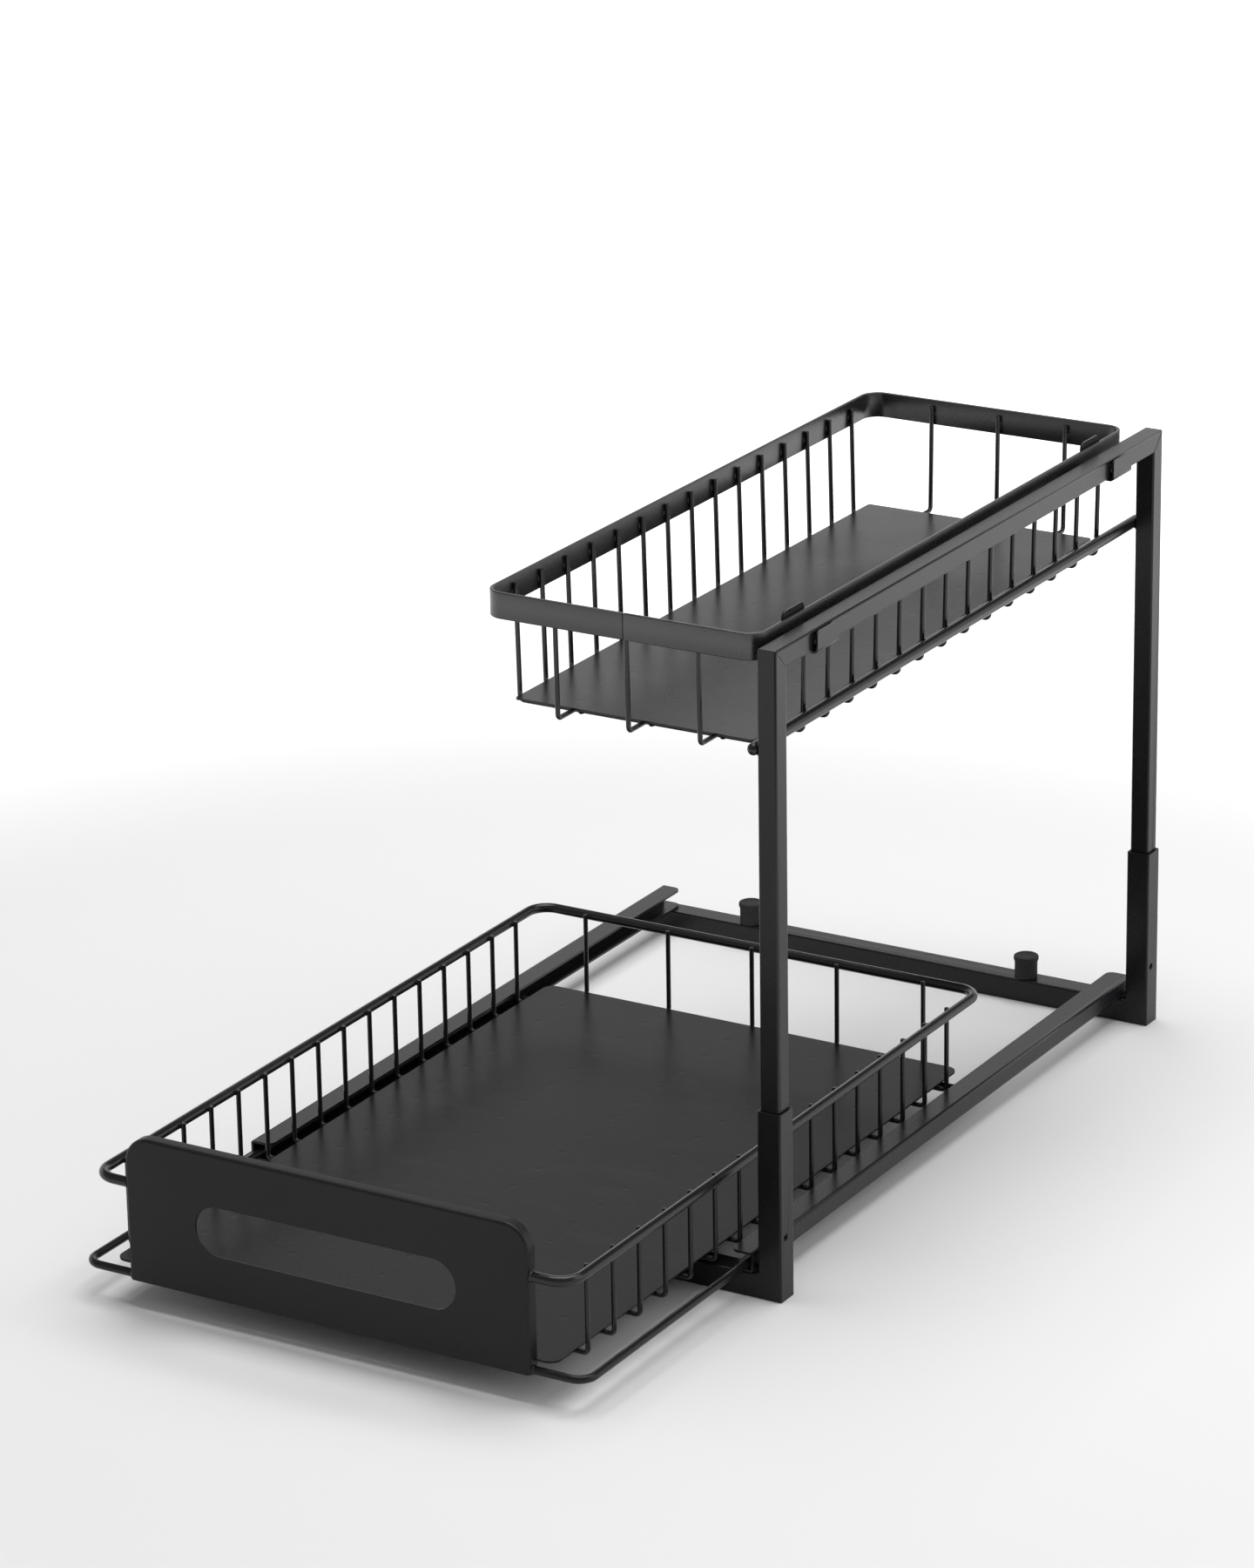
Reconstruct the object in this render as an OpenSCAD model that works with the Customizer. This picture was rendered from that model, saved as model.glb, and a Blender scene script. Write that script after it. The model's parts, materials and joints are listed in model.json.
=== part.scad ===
// Two-tier under sink organizer: a welded base with a sliding wire drawer, and an
// upright side frame that carries a narrow lift-off wire basket.
// X runs across the drawer, Y from front to back, Z up. The origin is on the floor, at the
// middle of the footprint with the drawer standing out as shown.

/* [Base and side frame] */
// Width of the base, from the left tube ends to the outer face of the posts
base_width = 303; // [270:1:360]
// Depth of the base, front face to rear face
frame_depth = 403; // [360:1:460]
// Height of the side frame above the floor
frame_height = 320; // [300:1:380]
// Side of the square base and post tube
base_tube = 12.5; // [12:0.5:15]
// Wall of the base and post tube
base_wall = 1; // [0.8:0.1:1.1]
// Side of the square tube of the upper frame
leg_tube = 10; // [9:0.1:10.2]
// Wall of the upper frame tube
leg_wall = 1; // [0.8:0.1:1.5]
// Corner radius along the edges of all square tubes
tube_corner = 1; // [0.5:0.1:1.2]
// Height of the socket posts
post_height = 95; // [70:1:120]
// How deep the legs reach into the posts
leg_insert = 78; // [70:1:80]
// Height of the lock screws above the floor
lock_height = 32; // [28:1:40]
// How far the lock screws sit behind the front side of their post
lock_offset = 4.6; // [4.4:0.1:7]
// Diameter of the lock screws
lock_d = 3.4; // [3:0.1:4]
// Length of the lock screws
lock_length = 6; // [4:0.5:7]

/* [Side rails] */
// Width of the channel rails
rail_width = 12; // [11:0.5:13]
// Height of the channel rails
rail_height = 10; // [9.5:0.5:12]
// Sheet thickness of the channel rails
rail_sheet = 1.2; // [1:0.1:1.5]
// Rounding of the free flange corners
rail_corner = 4; // [2:0.5:5]
// Gap between the right rail and the posts
rail_gap = 2.5; // [0.5:0.5:4]
// How far the base tubes reach past the left rail
rail_overhang = 6; // [2:0.5:10]
// How far the rails end short of the rear face
rail_short = 2.5; // [0:0.5:6]

/* [Bar and hooks] */
// Diameter of the support bar
bar_d = 6; // [5:0.5:8]
// How far the support bar's centre lies below the frame's top
bar_drop = 48.8; // [46:0.1:51]
// Width of the hooks
hook_width = 20; // [14:1:20.5]
// Sheet thickness of the hooks
hook_sheet = 1; // [0.8:0.1:1.2]
// How far the hook tabs stand above the basket band
hook_rise = 3; // [1:0.5:8]
// Gap between a hook's outer leg and the rail
hook_gap = 1.4; // [1:0.1:1.8]
// Diameter of the two welds in the gap of each hook
hook_weld_d = 3.4; // [2:0.1:5]
// Rounding of the outer leg's top corners
hook_leg_corner = 2; // [1:0.5:4]
// Rounding of the hook tab's top corners
hook_corner = 3; // [1:0.5:5]

/* [Stops] */
// Diameter of the rear rubber stops
stop_d = 13.2; // [12:0.2:14]
// Height of the rear rubber stops above their tube
stop_height = 12; // [9:0.5:16]
// Diameter of the low front stops
low_stop_d = 10; // [8:0.5:12]
// Height of the low front stops above their tube
low_stop_height = 2.8; // [2.4:0.1:3]
// Distance of each stop from the drawer's outermost lengthwise wire
stop_wire_gap = 15.8; // [9:0.1:20]

/* [Drawer] */
// How far the drawer front stands ahead of the base, as shown
drawer_out = 148.4; // [130:0.1:180]
// How far the drawer front stands ahead of the base when it is closed
closed_stand = 6.6; // [6:0.1:15]
// Width of the drawer front panel
panel_width = 219; // [180:1:225]
// Height of the drawer front panel
panel_height = 73; // [70:1:90]
// Sheet thickness of the drawer front panel
panel_sheet = 1.2; // [0.8:0.1:1.5]
// Depth of the panel's turned edge
panel_edge = 6.4; // [6:0.1:9]
// Rounding of the panel's top corners
panel_corner = 13; // [8:1:18]
// Length of the finger slot
slot_length = 142; // [90:1:160]
// Height of the finger slot
slot_height = 25; // [20:1:30]
// Height of the slot's lower edge above the panel's lower edge
slot_rise = 22; // [18:1:24]
// Diameter of the rim wire
rim_d = 5; // [4:0.1:6]
// How far the rim's centre lies below the panel's top
rim_drop = 24.9; // [20:0.1:30]
// Distance of the rim's outer face from the rails' outer faces
rim_inset = 9.3; // [7:0.1:14]
// How far the closed rim stops short of the rear face
rim_short = 5; // [0.5:0.1:10]
// Bend radius of the rim's centre line
rim_bend = 11; // [8:1:16]
// Diameter of the sliding loop wire
loop_d = 4; // [3.6:0.1:4.4]
// How far the loop's rear run lies ahead of the rear run of the rim
loop_short = 18.7; // [14:0.1:20]
// Bend radius of the loop's centre line
loop_bend = 8; // [6:0.5:12]
// Side gap between the loop and each rail
loop_play = 1; // [0.5:0.1:2]
// Gap between the loop and the lower flange of the rails
loop_lift = 0.5; // [0.3:0.1:0.8]
// Number of crosswise wires of the drawer
drawer_cross_count = 16; // [8:1:20]
// Distance of the first crosswise wire from the front run of the rim
drawer_first = 21; // [12:1:30]
// Distance of the last crosswise wire from the rear run of the rim
drawer_last = 29.4; // [25:0.1:45]
// Number of lengthwise wires of the drawer
drawer_length_count = 5; // [3:2:5]
// Spacing of the lengthwise wires of the drawer
drawer_length_pitch = 49.4; // [30:0.1:52]
// Gap between the drawer tray and the bends of the side wires
tray_side_gap = 2.6; // [0.5:0.1:8]

/* [Basket] */
// Outer width of the basket band
basket_width = 146.7; // [110:0.1:170]
// Height of the basket band
band_height = 13; // [10:0.5:16]
// Thickness of the basket band
band_sheet = 1.8; // [1.5:0.1:2.2]
// Outer corner radius of the basket band
band_corner = 10; // [7:1:14]
// Distance of the band from the front face of the base
basket_front_gap = 9; // [6:0.5:20]
// Distance of the band from the rear face of the base
basket_rear_gap = 15; // [6:0.5:24]
// Depth of the basket from the band's top to the tray
basket_depth = 57.1; // [52:0.1:58]
// How far the basket walls lean in towards the bottom
basket_taper = 1.2; // [0.4:0.1:3]
// Number of crosswise wires of the basket
basket_cross_count = 15; // [13:1:16]
// Number of lengthwise wires of the basket
basket_length_count = 3; // [1:2:5]
// Spacing of the lengthwise wires of the basket
basket_length_pitch = 38; // [15:1:40]
// How far the lengthwise wires and the seam sit to the right of the band's middle
basket_wire_shift = 2.3; // [0:0.1:6]
// Gap between the basket tray and the bends of the left side wires
basket_tray_left_gap = 1; // [0.5:0.1:10]
// Gap between the basket tray and the bends of the right side wires
basket_tray_right_gap = 5; // [0.5:0.1:10]
// Gap between the basket tray and the bends of the front and rear wires
basket_tray_end_gap = 8.5; // [0.5:0.1:20]

/* [Wires and trays] */
// Diameter of the thin wires
wire_d = 2.4; // [2:0.1:2.6]
// Bend radius of the thin wires' centre line
wire_bend = 2.4; // [2:0.1:5]
// Thickness of the sheet trays
tray_sheet = 1; // [0.8:0.1:1.5]
// Corner radius of the drawer tray
drawer_tray_corner = 6; // [3:1:10]
// Corner radius of the basket tray
basket_tray_corner = 1.5; // [1:0.5:10]

/* [Clearances] */
// Gap between a moving piece and the stop it runs against
stop_gap = 0.3; // [0.1:0.1:0.5]
// Gap under the basket band where it rests in the hooks
rest_gap = 0.2; // [0.1:0.1:0.5]
// Gap between the basket wires and the support bar
bar_gap = 0.3; // [0.2:0.1:0.6]
// Gap between the basket band and the hook tabs
tab_gap = 0.3; // [0.2:0.1:0.6]
// Gap between the drawer tray and the upright wires at its front
tray_gap = 0.3; // [0.2:0.1:1]
// How far a wire sinks into what it is welded to
weld_sink = 0.05; // [0.02:0.01:0.08]

/* [Hidden] */
$fn = 40;

COATED = "#3f3f43";
COATED_LIGHT = "#4c4c50";
RUBBER = "#1d1d1f";
PLASTIC = "#242427";
SCREW_STEEL = "#55565a";

// Side frame places
right_x = base_width / 2;
left_x = -right_x;
leg_inset = (base_tube - leg_tube) / 2;
leg_outer_x = right_x - leg_inset;
leg_inner_x = leg_outer_x - leg_tube;
rail_underside = frame_height - leg_tube;
bar_height = frame_height - bar_drop;
bar_proud = 1;
leg_bottom = post_height - leg_insert;
socket_bore = base_tube - 2 * base_wall;
wire_r = wire_d / 2;
bend_reach = 0.3;
bend_slim = 0.02;

// Plastic pieces in the tube ends
cap_sheet = 1.5;
cap_spigot = 8;
plug_flange = 3;
plug_spigot = 12;

// Lock screws
lock_recess = 0.5;
hex_across = 1.5;
hex_depth = 2;

// Rails and drawer middle
rail_right_outer = right_x - base_tube - rail_gap;
rail_left_outer = left_x + rail_overhang;
rail_bend = 1.5;
drawer_x = (rail_right_outer + rail_left_outer) / 2;
rail_half = (rail_right_outer - rail_left_outer) / 2;
rail_length = frame_depth - rail_short;

// Stops
stop_stem_d = 5;
stop_bulb_d = 7;
stop_bulb_height = 2.5;
stop_flare = 0.6;
stop_chamfer = 0.6;
stop_spread = (drawer_length_count - 1) / 2 * drawer_length_pitch - stop_wire_gap;
rear_stop_y = frame_depth - max(base_tube, stop_d) / 2;
front_stop_y = base_tube / 2;

// Drawer heights. The crosswise wires lie on the loop, the lengthwise wires hang under them.
loop_z = base_tube + rail_sheet + loop_lift + loop_d / 2;
panel_bottom = loop_z - loop_d / 2;
drawer_cross_z = loop_z + loop_d / 2 + wire_r - weld_sink;
drawer_length_z = drawer_cross_z - wire_d + weld_sink;
tray_z = drawer_cross_z + wire_r;
rim_z = panel_bottom + panel_height - rim_drop;
slot_z = panel_bottom + slot_rise + slot_height / 2;

// Drawer lengths, as shown
close_travel = drawer_out - closed_stand;
panel_y = -drawer_out;
panel_back_y = panel_y + panel_sheet;
rim_front_y = panel_y + panel_edge / 2;
rim_rear_y = frame_depth - rim_short - rim_d / 2 - close_travel;
rim_half = rail_half - rim_inset - rim_d / 2;
loop_half = rail_half - rail_sheet - loop_play - loop_d / 2;
loop_rear_y = rim_rear_y - loop_short;
side_wire_half = rim_half - rim_d / 2 - wire_r + weld_sink;
wire_tip = 1.1;
wire_top = rim_z + rim_d / 2 - wire_tip;
drawer_cross_first_y = rim_front_y + drawer_first;
drawer_cross_last_y = rim_rear_y - drawer_last;
drawer_cross_pitch = (drawer_cross_last_y - drawer_cross_first_y) / (drawer_cross_count - 1);
length_front_y = panel_back_y + wire_r - weld_sink;
length_lap = 0.3;
length_end_y = loop_rear_y - loop_d / 2 + length_lap;
rear_wire_start = 2;
rear_wire_start_y = drawer_cross_last_y + wire_r + rear_wire_start;
rear_wire_y = rim_rear_y - rim_d / 2 - wire_r + weld_sink;
slot_margin = 3;
length_front_top = slot_z - slot_height / 2 - slot_margin;
bend_inside = wire_bend - wire_r;
tray_half = side_wire_half - wire_r - bend_inside - tray_side_gap;
tray_front_y = length_front_y + wire_r + tray_gap;
tray_rear_y = min(rear_stop_y - stop_d / 2 - stop_gap - close_travel,
    rear_wire_y - wire_r - bend_inside);

// Basket heights
band_bottom = rail_underside + rest_gap;
band_top = band_bottom + band_height;
basket_tray_z = band_top - basket_depth;
basket_length_z = basket_tray_z - wire_r;
basket_cross_z = basket_length_z - wire_d + weld_sink;
wire_start = band_top - band_height / 4;

// Basket places. The walls lean in from the band, and the right wires lean on the bar.
bar_x = leg_inner_x - bar_d / 2 + weld_sink;
lean_at_bar = basket_taper * (wire_start - bar_height) / (wire_start - basket_cross_z);
basket_wire_right = bar_x - bar_d / 2 - bar_gap - wire_r + lean_at_bar;
band_right_inner = basket_wire_right + wire_r - weld_sink;
band_right = band_right_inner + band_sheet;
basket_x = band_right - basket_width / 2;
basket_wire_x = basket_x + basket_wire_shift;
basket_wire_half = basket_wire_right - basket_x;
band_front_y = basket_front_gap;
band_rear_y = frame_depth - basket_rear_gap;
basket_length = band_rear_y - band_front_y;
basket_wire_front_y = band_front_y + band_sheet + wire_r - weld_sink;
basket_wire_rear_y = band_rear_y - band_sheet - wire_r + weld_sink;
basket_bay = (basket_length - 2 * band_sheet) / (basket_cross_count + 1);
basket_tray_inset = basket_taper + wire_r + bend_inside;
basket_tray_reach = basket_wire_half - basket_tray_inset;
basket_tray_left = basket_x - basket_tray_reach + basket_tray_left_gap;
basket_tray_right = basket_x + basket_tray_reach - basket_tray_right_gap;
basket_tray_front_y = basket_wire_front_y + basket_tray_inset + basket_tray_end_gap;
basket_tray_rear_y = basket_wire_rear_y - basket_tray_inset - basket_tray_end_gap;
hook_bay = 1.5;
hook_front_y = band_front_y + band_sheet + hook_bay * basket_bay;
hook_rear_y = band_rear_y - band_sheet - hook_bay * basket_bay;
seam_width = 0.4;
seam_depth = 0.4;

// Hooks
hook_bend = 1;
hook_leg_drop = 0.3;
hook_weld_inset = 0.2;

// The hooks reach a little past the posts, so the middle of the footprint moves with them
hook_overhang = max(0, hook_gap + hook_sheet - leg_inset);
middle_x = hook_overhang / 2;
middle_y = (frame_depth - drawer_out) / 2;

// Moves a piece so that the origin is in the middle of the footprint
module placed() {
    translate([-middle_x, -middle_y, 0]) children();
}

// General shapes

function unit(v) = v / norm(v);
function turn_between(a, b) = atan2(a[0] * b[1] - a[1] * b[0], a * b);

// A square with rounded corners, its corner on the origin
module rounded_square(size, r) {
    translate([r, 0]) square([size[0] - 2 * r, size[1]]);
    translate([0, r]) square([size[0], size[1] - 2 * r]);
    for (x = [r, size[0] - r], y = [r, size[1] - r])
        translate([x, y]) circle(r);
}

// The section of a square tube
module tube_section(side, wall) {
    difference() {
        rounded_square([side, side], tube_corner);
        translate([wall, wall]) square(side - 2 * wall);
    }
}

module tube_x(from, to, y, z, side, wall) {
    translate([from, y, z]) rotate([90, 0, 90])
        linear_extrude(to - from) tube_section(side, wall);
}

module tube_y(from, to, x, z, side, wall) {
    translate([x, to, z]) rotate([90, 0, 0])
        linear_extrude(to - from) tube_section(side, wall);
}

module tube_z(from, to, x, y, side, wall) {
    translate([x, y, from]) linear_extrude(to - from) tube_section(side, wall);
}

// Everything on one side of a plane, for mitre cuts
module beyond(point, turn) {
    reach = 40;
    translate(point) rotate(turn)
        translate([0, -reach / 2, -reach / 2]) cube(reach);
}

// A wire that follows flat points in the XY plane, with a bend at each inner point. A bend
// is a hair thinner than the straight runs and reaches a little way into both of them.
module wire(points, d, bend) {
    last = len(points) - 1;
    turns = [for (i = [0:last]) (i == 0 || i == last) ? 0
        : turn_between(points[i] - points[i - 1], points[i + 1] - points[i])];
    trims = [for (t = turns) bend * tan(abs(t) / 2)];
    for (i = [0:last - 1]) {
        along = unit(points[i + 1] - points[i]);
        from = points[i] + along * trims[i];
        to = points[i + 1] - along * trims[i + 1];
        translate([from[0], from[1], 0]) rotate([0, 90, atan2(along[1], along[0])])
            cylinder(d = d, h = norm(to - from));
    }
    extra = bend_reach / bend * 180 / PI;
    for (i = [1:last - 1]) {
        into = unit(points[i] - points[i - 1]);
        side = sign(turns[i]);
        start = points[i] - into * trims[i];
        centre = start + side * bend * [-into[1], into[0]];
        heading = atan2(into[1], into[0]) - side * 90;
        translate([centre[0], centre[1], 0])
            rotate([0, 0, min(heading, heading + turns[i]) - extra])
                rotate_extrude(angle = abs(turns[i]) + 2 * extra)
                    translate([bend, 0]) circle(d = d - 2 * bend_slim);
    }
}

// A wire in an upright plane across the drawer
module cross_wire(y, points, bend) {
    translate([0, y, 0]) rotate([90, 0, 0]) wire(points, wire_d, bend);
}

// A wire in an upright plane along the drawer
module length_wire(x, points, bend) {
    translate([x, 0, 0]) rotate([90, 0, 90]) wire(points, wire_d, bend);
}

// A flat sheet with rounded corners
module sheet_tray(x_from, x_to, y_from, y_to, z, corner) {
    translate([x_from, y_from, z])
        linear_extrude(tray_sheet)
            rounded_square([x_to - x_from, y_to - y_from], corner);
}

// Base

module base_cross_tube(y, stop_y, stem_d) {
    difference() {
        tube_x(left_x + cap_sheet, right_x, y, 0, base_tube, base_wall);
        beyond([right_x, y, 0], [0, -45, 0]);
        for (side = [-1, 1])
            translate([drawer_x + side * stop_spread, stop_y, base_tube - 2 * base_wall])
                cylinder(d = stem_d, h = 4 * base_wall);
    }
}

module socket_post(y) {
    difference() {
        tube_z(0, post_height, right_x - base_tube, y, base_tube, base_wall);
        beyond([right_x, y, 0], [0, 135, 0]);
        translate([right_x - 2 * base_wall, y + lock_offset, lock_height])
            rotate([0, 90, 0]) cylinder(d = lock_d, h = 4 * base_wall);
    }
}

module front_cross_tube() {
    color(COATED) placed() base_cross_tube(0, front_stop_y, stop_stem_d);
}

module rear_cross_tube() {
    color(COATED) placed() base_cross_tube(frame_depth - base_tube, rear_stop_y, stop_stem_d);
}

module front_post() {
    color(COATED) placed() socket_post(0);
}

module rear_post() {
    color(COATED) placed() socket_post(frame_depth - base_tube);
}

module tube_end_caps() {
    color(PLASTIC) placed()
        for (y = [0, frame_depth - base_tube])
            translate([left_x, y, 0]) {
                rotate([90, 0, 90]) linear_extrude(cap_sheet)
                    rounded_square([base_tube, base_tube], tube_corner);
                translate([cap_sheet, base_wall, base_wall])
                    cube([cap_spigot, socket_bore, socket_bore]);
            }
}

// The channel opens towards +X and runs along +Y
module channel_rail() {
    inside_height = rail_height - 2 * rail_sheet;
    difference() {
        translate([0, rail_length, 0]) rotate([90, 0, 0]) linear_extrude(rail_length)
            difference() {
                union() {
                    translate([rail_bend, 0]) square([rail_width - rail_bend, rail_height]);
                    translate([0, rail_bend]) square([rail_width, rail_height - 2 * rail_bend]);
                    translate([rail_bend, rail_bend]) circle(rail_bend);
                    translate([rail_bend, rail_height - rail_bend]) circle(rail_bend);
                }
                translate([rail_sheet, rail_sheet]) square([rail_width, inside_height]);
            }
        for (rear = [0, 1])
            translate([rail_width - rail_corner, rear * rail_length, -1])
                mirror([0, rear, 0]) linear_extrude(rail_height + 2)
                    difference() {
                        translate([0, -1]) square([rail_corner + 1, rail_corner + 1]);
                        translate([0, rail_corner]) circle(rail_corner);
                    }
    }
}

module left_rail() {
    color(COATED) placed()
        translate([rail_left_outer, 0, base_tube]) channel_rail();
}

module right_rail() {
    color(COATED) placed()
        translate([rail_right_outer, 0, base_tube]) mirror([1, 0, 0]) channel_rail();
}

// A push-in rubber stop: body, stem through the tube wall and a bulb below it
module rubber_stop(d, height) {
    edge = min(stop_chamfer, 0.1 * height);
    rotate_extrude()
        polygon([
            [0, -base_wall - stop_bulb_height], [stop_stem_d / 2, -base_wall - stop_bulb_height],
            [stop_bulb_d / 2, -base_wall], [stop_stem_d / 2, -base_wall], [stop_stem_d / 2, 0],
            [d / 2 - stop_flare, 0], [d / 2 - stop_flare, 0.7 * height], [d / 2, 0.85 * height],
            [d / 2, height - edge], [d / 2 - edge, height], [0, height]
        ]);
}

module rear_stops() {
    color(RUBBER) placed()
        for (side = [-1, 1])
            translate([drawer_x + side * stop_spread, rear_stop_y, base_tube])
                rubber_stop(stop_d, stop_height);
}

module front_stops() {
    color(RUBBER) placed()
        for (side = [-1, 1])
            translate([drawer_x + side * stop_spread, front_stop_y, base_tube])
                rubber_stop(low_stop_d, low_stop_height);
}

// Side frame

module upright_leg(y, corner_y, corner_turn) {
    difference() {
        tube_z(leg_bottom, frame_height, leg_inner_x, y, leg_tube, leg_wall);
        beyond([leg_inner_x, corner_y, frame_height], corner_turn);
        translate([leg_outer_x - 2 * leg_wall, y - leg_inset + lock_offset, lock_height])
            rotate([0, 90, 0]) cylinder(d = lock_d, h = 4 * leg_wall);
    }
}

module front_leg() {
    color(COATED) placed()
        upright_leg(leg_inset, leg_inset, [0, -45, 90]);
}

module rear_leg() {
    rear_y = frame_depth - leg_inset;
    color(COATED) placed()
        upright_leg(rear_y - leg_tube, rear_y, [0, -45, -90]);
}

module top_rail() {
    color(COATED) placed()
        difference() {
            tube_y(leg_inset, frame_depth - leg_inset, leg_inner_x, rail_underside,
                leg_tube, leg_wall);
            beyond([leg_inner_x, leg_inset, frame_height], [0, 135, 90]);
            beyond([leg_inner_x, frame_depth - leg_inset, frame_height], [0, 135, -90]);
        }
}

module leg_plugs() {
    spigot = leg_tube - 2 * leg_wall;
    color(PLASTIC) placed()
        for (y = [0, frame_depth - base_tube])
            translate([right_x - base_tube / 2, y + base_tube / 2, leg_bottom]) {
                translate([-socket_bore / 2, -socket_bore / 2, -plug_flange])
                    cube([socket_bore, socket_bore, plug_flange]);
                translate([-spigot / 2, -spigot / 2, 0])
                    cube([spigot, spigot, plug_spigot - plug_flange]);
            }
}

module lock_screws() {
    color(SCREW_STEEL) placed()
        for (y = [0, frame_depth - base_tube])
            translate([right_x - lock_recess, y + lock_offset, lock_height])
                rotate([0, -90, 0])
                    difference() {
                        cylinder(d = lock_d, h = lock_length);
                        translate([0, 0, -1])
                            cylinder(d = hex_across / cos(30), h = hex_depth + 1, $fn = 6);
                    }
}

// A round bar with domed ends, welded to the inner faces of both legs
module support_bar() {
    front_y = leg_inset + bar_d / 2 - bar_proud;
    rear_y = frame_depth - leg_inset - bar_d / 2;
    color(COATED_LIGHT) placed()
        translate([bar_x, 0, bar_height]) {
            translate([0, front_y, 0]) rotate([-90, 0, 0])
                cylinder(d = bar_d, h = rear_y - front_y);
            translate([0, front_y, 0]) sphere(d = bar_d);
            translate([0, rear_y, 0]) sphere(d = bar_d);
        }
}

// The bent strip of a hook, seen from the front. X is 0 at the rail's outer face and
// Z is 0 at the rail's underside. The outer leg stands off the rail.
module hook_outline(tab_top, leg_top) {
    tab_face = band_right_inner - tab_gap - leg_outer_x;
    outside = hook_bend + hook_sheet;
    translate([tab_face - hook_sheet, 0]) square([hook_sheet, tab_top]);
    translate([tab_face, -hook_sheet]) square([hook_gap - hook_bend - tab_face, hook_sheet]);
    translate([hook_gap, hook_bend]) square([hook_sheet, leg_top - hook_bend]);
    intersection() {
        translate([tab_face, 0]) circle(hook_sheet);
        translate([tab_face - hook_sheet, -hook_sheet]) square(hook_sheet);
    }
    translate([hook_gap - hook_bend, hook_bend])
        intersection() {
            difference() {
                circle(outside);
                circle(hook_bend);
            }
            translate([0, -outside]) square(outside);
        }
}

// Rounds off the two top corners of an upright end of the hook
module hook_corner_cut(from, to, top, corner) {
    for (side = [0, 1])
        translate([from, -side * hook_width, top - corner])
            mirror([0, side, 0]) rotate([90, 0, 90]) linear_extrude(to - from)
                difference() {
                    translate([-corner, 0]) square(corner + 1);
                    translate([-corner, 0]) circle(corner);
                }
}

module hook(y) {
    tab_top = band_top + hook_rise - rail_underside;
    leg_top = leg_tube - hook_leg_drop;
    reach = 60;
    weld_y = hook_weld_d / 2 + hook_weld_inset;
    translate([leg_outer_x, y + hook_width / 2, rail_underside]) {
        difference() {
            rotate([90, 0, 0]) linear_extrude(hook_width) hook_outline(tab_top, leg_top);
            hook_corner_cut(-reach, reach, tab_top, hook_corner);
            hook_corner_cut(0, reach, leg_top, hook_leg_corner);
        }
        for (from_end = [weld_y, hook_width - weld_y])
            translate([0, -from_end, leg_tube / 2]) rotate([0, 90, 0])
                cylinder(d = hook_weld_d, h = hook_gap + hook_sheet / 2);
    }
}

module front_hook() {
    color(COATED) placed() hook(hook_front_y);
}

module rear_hook() {
    color(COATED) placed() hook(hook_rear_y);
}

// Drawer

// The front panel's outline: rounded top corners and a straight lower edge
module panel_outline(half, bottom, top, corner) {
    translate([-half, bottom]) square([2 * half, top - bottom - corner]);
    translate([corner - half, bottom]) square([2 * (half - corner), top - bottom]);
    for (side = [-1, 1])
        translate([side * (half - corner), top - corner]) circle(corner);
}

module drawer_front() {
    half = panel_width / 2;
    top = panel_bottom + panel_height;
    slot_half = (slot_length - slot_height) / 2;
    color(COATED) placed()
        translate([drawer_x, panel_y + panel_edge, 0]) rotate([90, 0, 0])
            difference() {
                linear_extrude(panel_edge)
                    panel_outline(half, panel_bottom, top, panel_corner);
                translate([0, 0, -1]) linear_extrude(panel_edge - panel_sheet + 1)
                    panel_outline(half - panel_sheet, panel_bottom - 1, top - panel_sheet,
                        panel_corner - panel_sheet);
                translate([0, slot_z, -1]) linear_extrude(panel_edge + 2) {
                    square([2 * slot_half, slot_height], center = true);
                    for (side = [-1, 1])
                        translate([side * slot_half, 0]) circle(d = slot_height);
                }
            }
}

// A wire that leaves the panel's side, goes round the drawer and comes back to the panel
module drawer_loop(half, front_y, rear_y, z, d, bend) {
    start = panel_width / 2;
    translate([drawer_x, 0, z])
        wire([[start, front_y], [half, front_y], [half, rear_y],
              [-half, rear_y], [-half, front_y], [-start, front_y]], d, bend);
}

module drawer_rim() {
    color(COATED_LIGHT) placed()
        drawer_loop(rim_half, rim_front_y, rim_rear_y, rim_z, rim_d, rim_bend);
}

module slide_loop() {
    color(COATED_LIGHT) placed()
        drawer_loop(loop_half, rim_front_y, loop_rear_y, loop_z, loop_d, loop_bend);
}

module drawer_cross_wires() {
    left = drawer_x - side_wire_half;
    right = drawer_x + side_wire_half;
    color(COATED_LIGHT) placed()
        for (i = [0:drawer_cross_count - 1])
            cross_wire(drawer_cross_first_y + i * drawer_cross_pitch,
                [[left, wire_top], [left, drawer_cross_z],
                 [right, drawer_cross_z], [right, wire_top]],
                wire_bend);
}

// The lengthwise wires rise behind the panel and run back under the crosswise wires to
// the loop's rear run
module drawer_length_wires() {
    middle = (drawer_length_count - 1) / 2;
    color(COATED_LIGHT) placed()
        for (i = [0:drawer_length_count - 1])
            length_wire(drawer_x + (i - middle) * drawer_length_pitch,
                [[length_front_y, length_front_top], [length_front_y, drawer_length_z],
                 [length_end_y, drawer_length_z]],
                wire_bend);
}

// Short wires that lie on the loop's rear run and rise to the rim
module drawer_rear_wires() {
    middle = (drawer_length_count - 1) / 2;
    color(COATED_LIGHT) placed()
        for (i = [0:drawer_length_count - 1])
            length_wire(drawer_x + (i - middle) * drawer_length_pitch,
                [[rear_wire_start_y, drawer_cross_z], [rear_wire_y, drawer_cross_z],
                 [rear_wire_y, wire_top]],
                wire_bend);
}

module drawer_tray() {
    color(COATED) placed()
        sheet_tray(drawer_x - tray_half, drawer_x + tray_half, tray_front_y, tray_rear_y,
            tray_z, drawer_tray_corner);
}

// Basket

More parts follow.
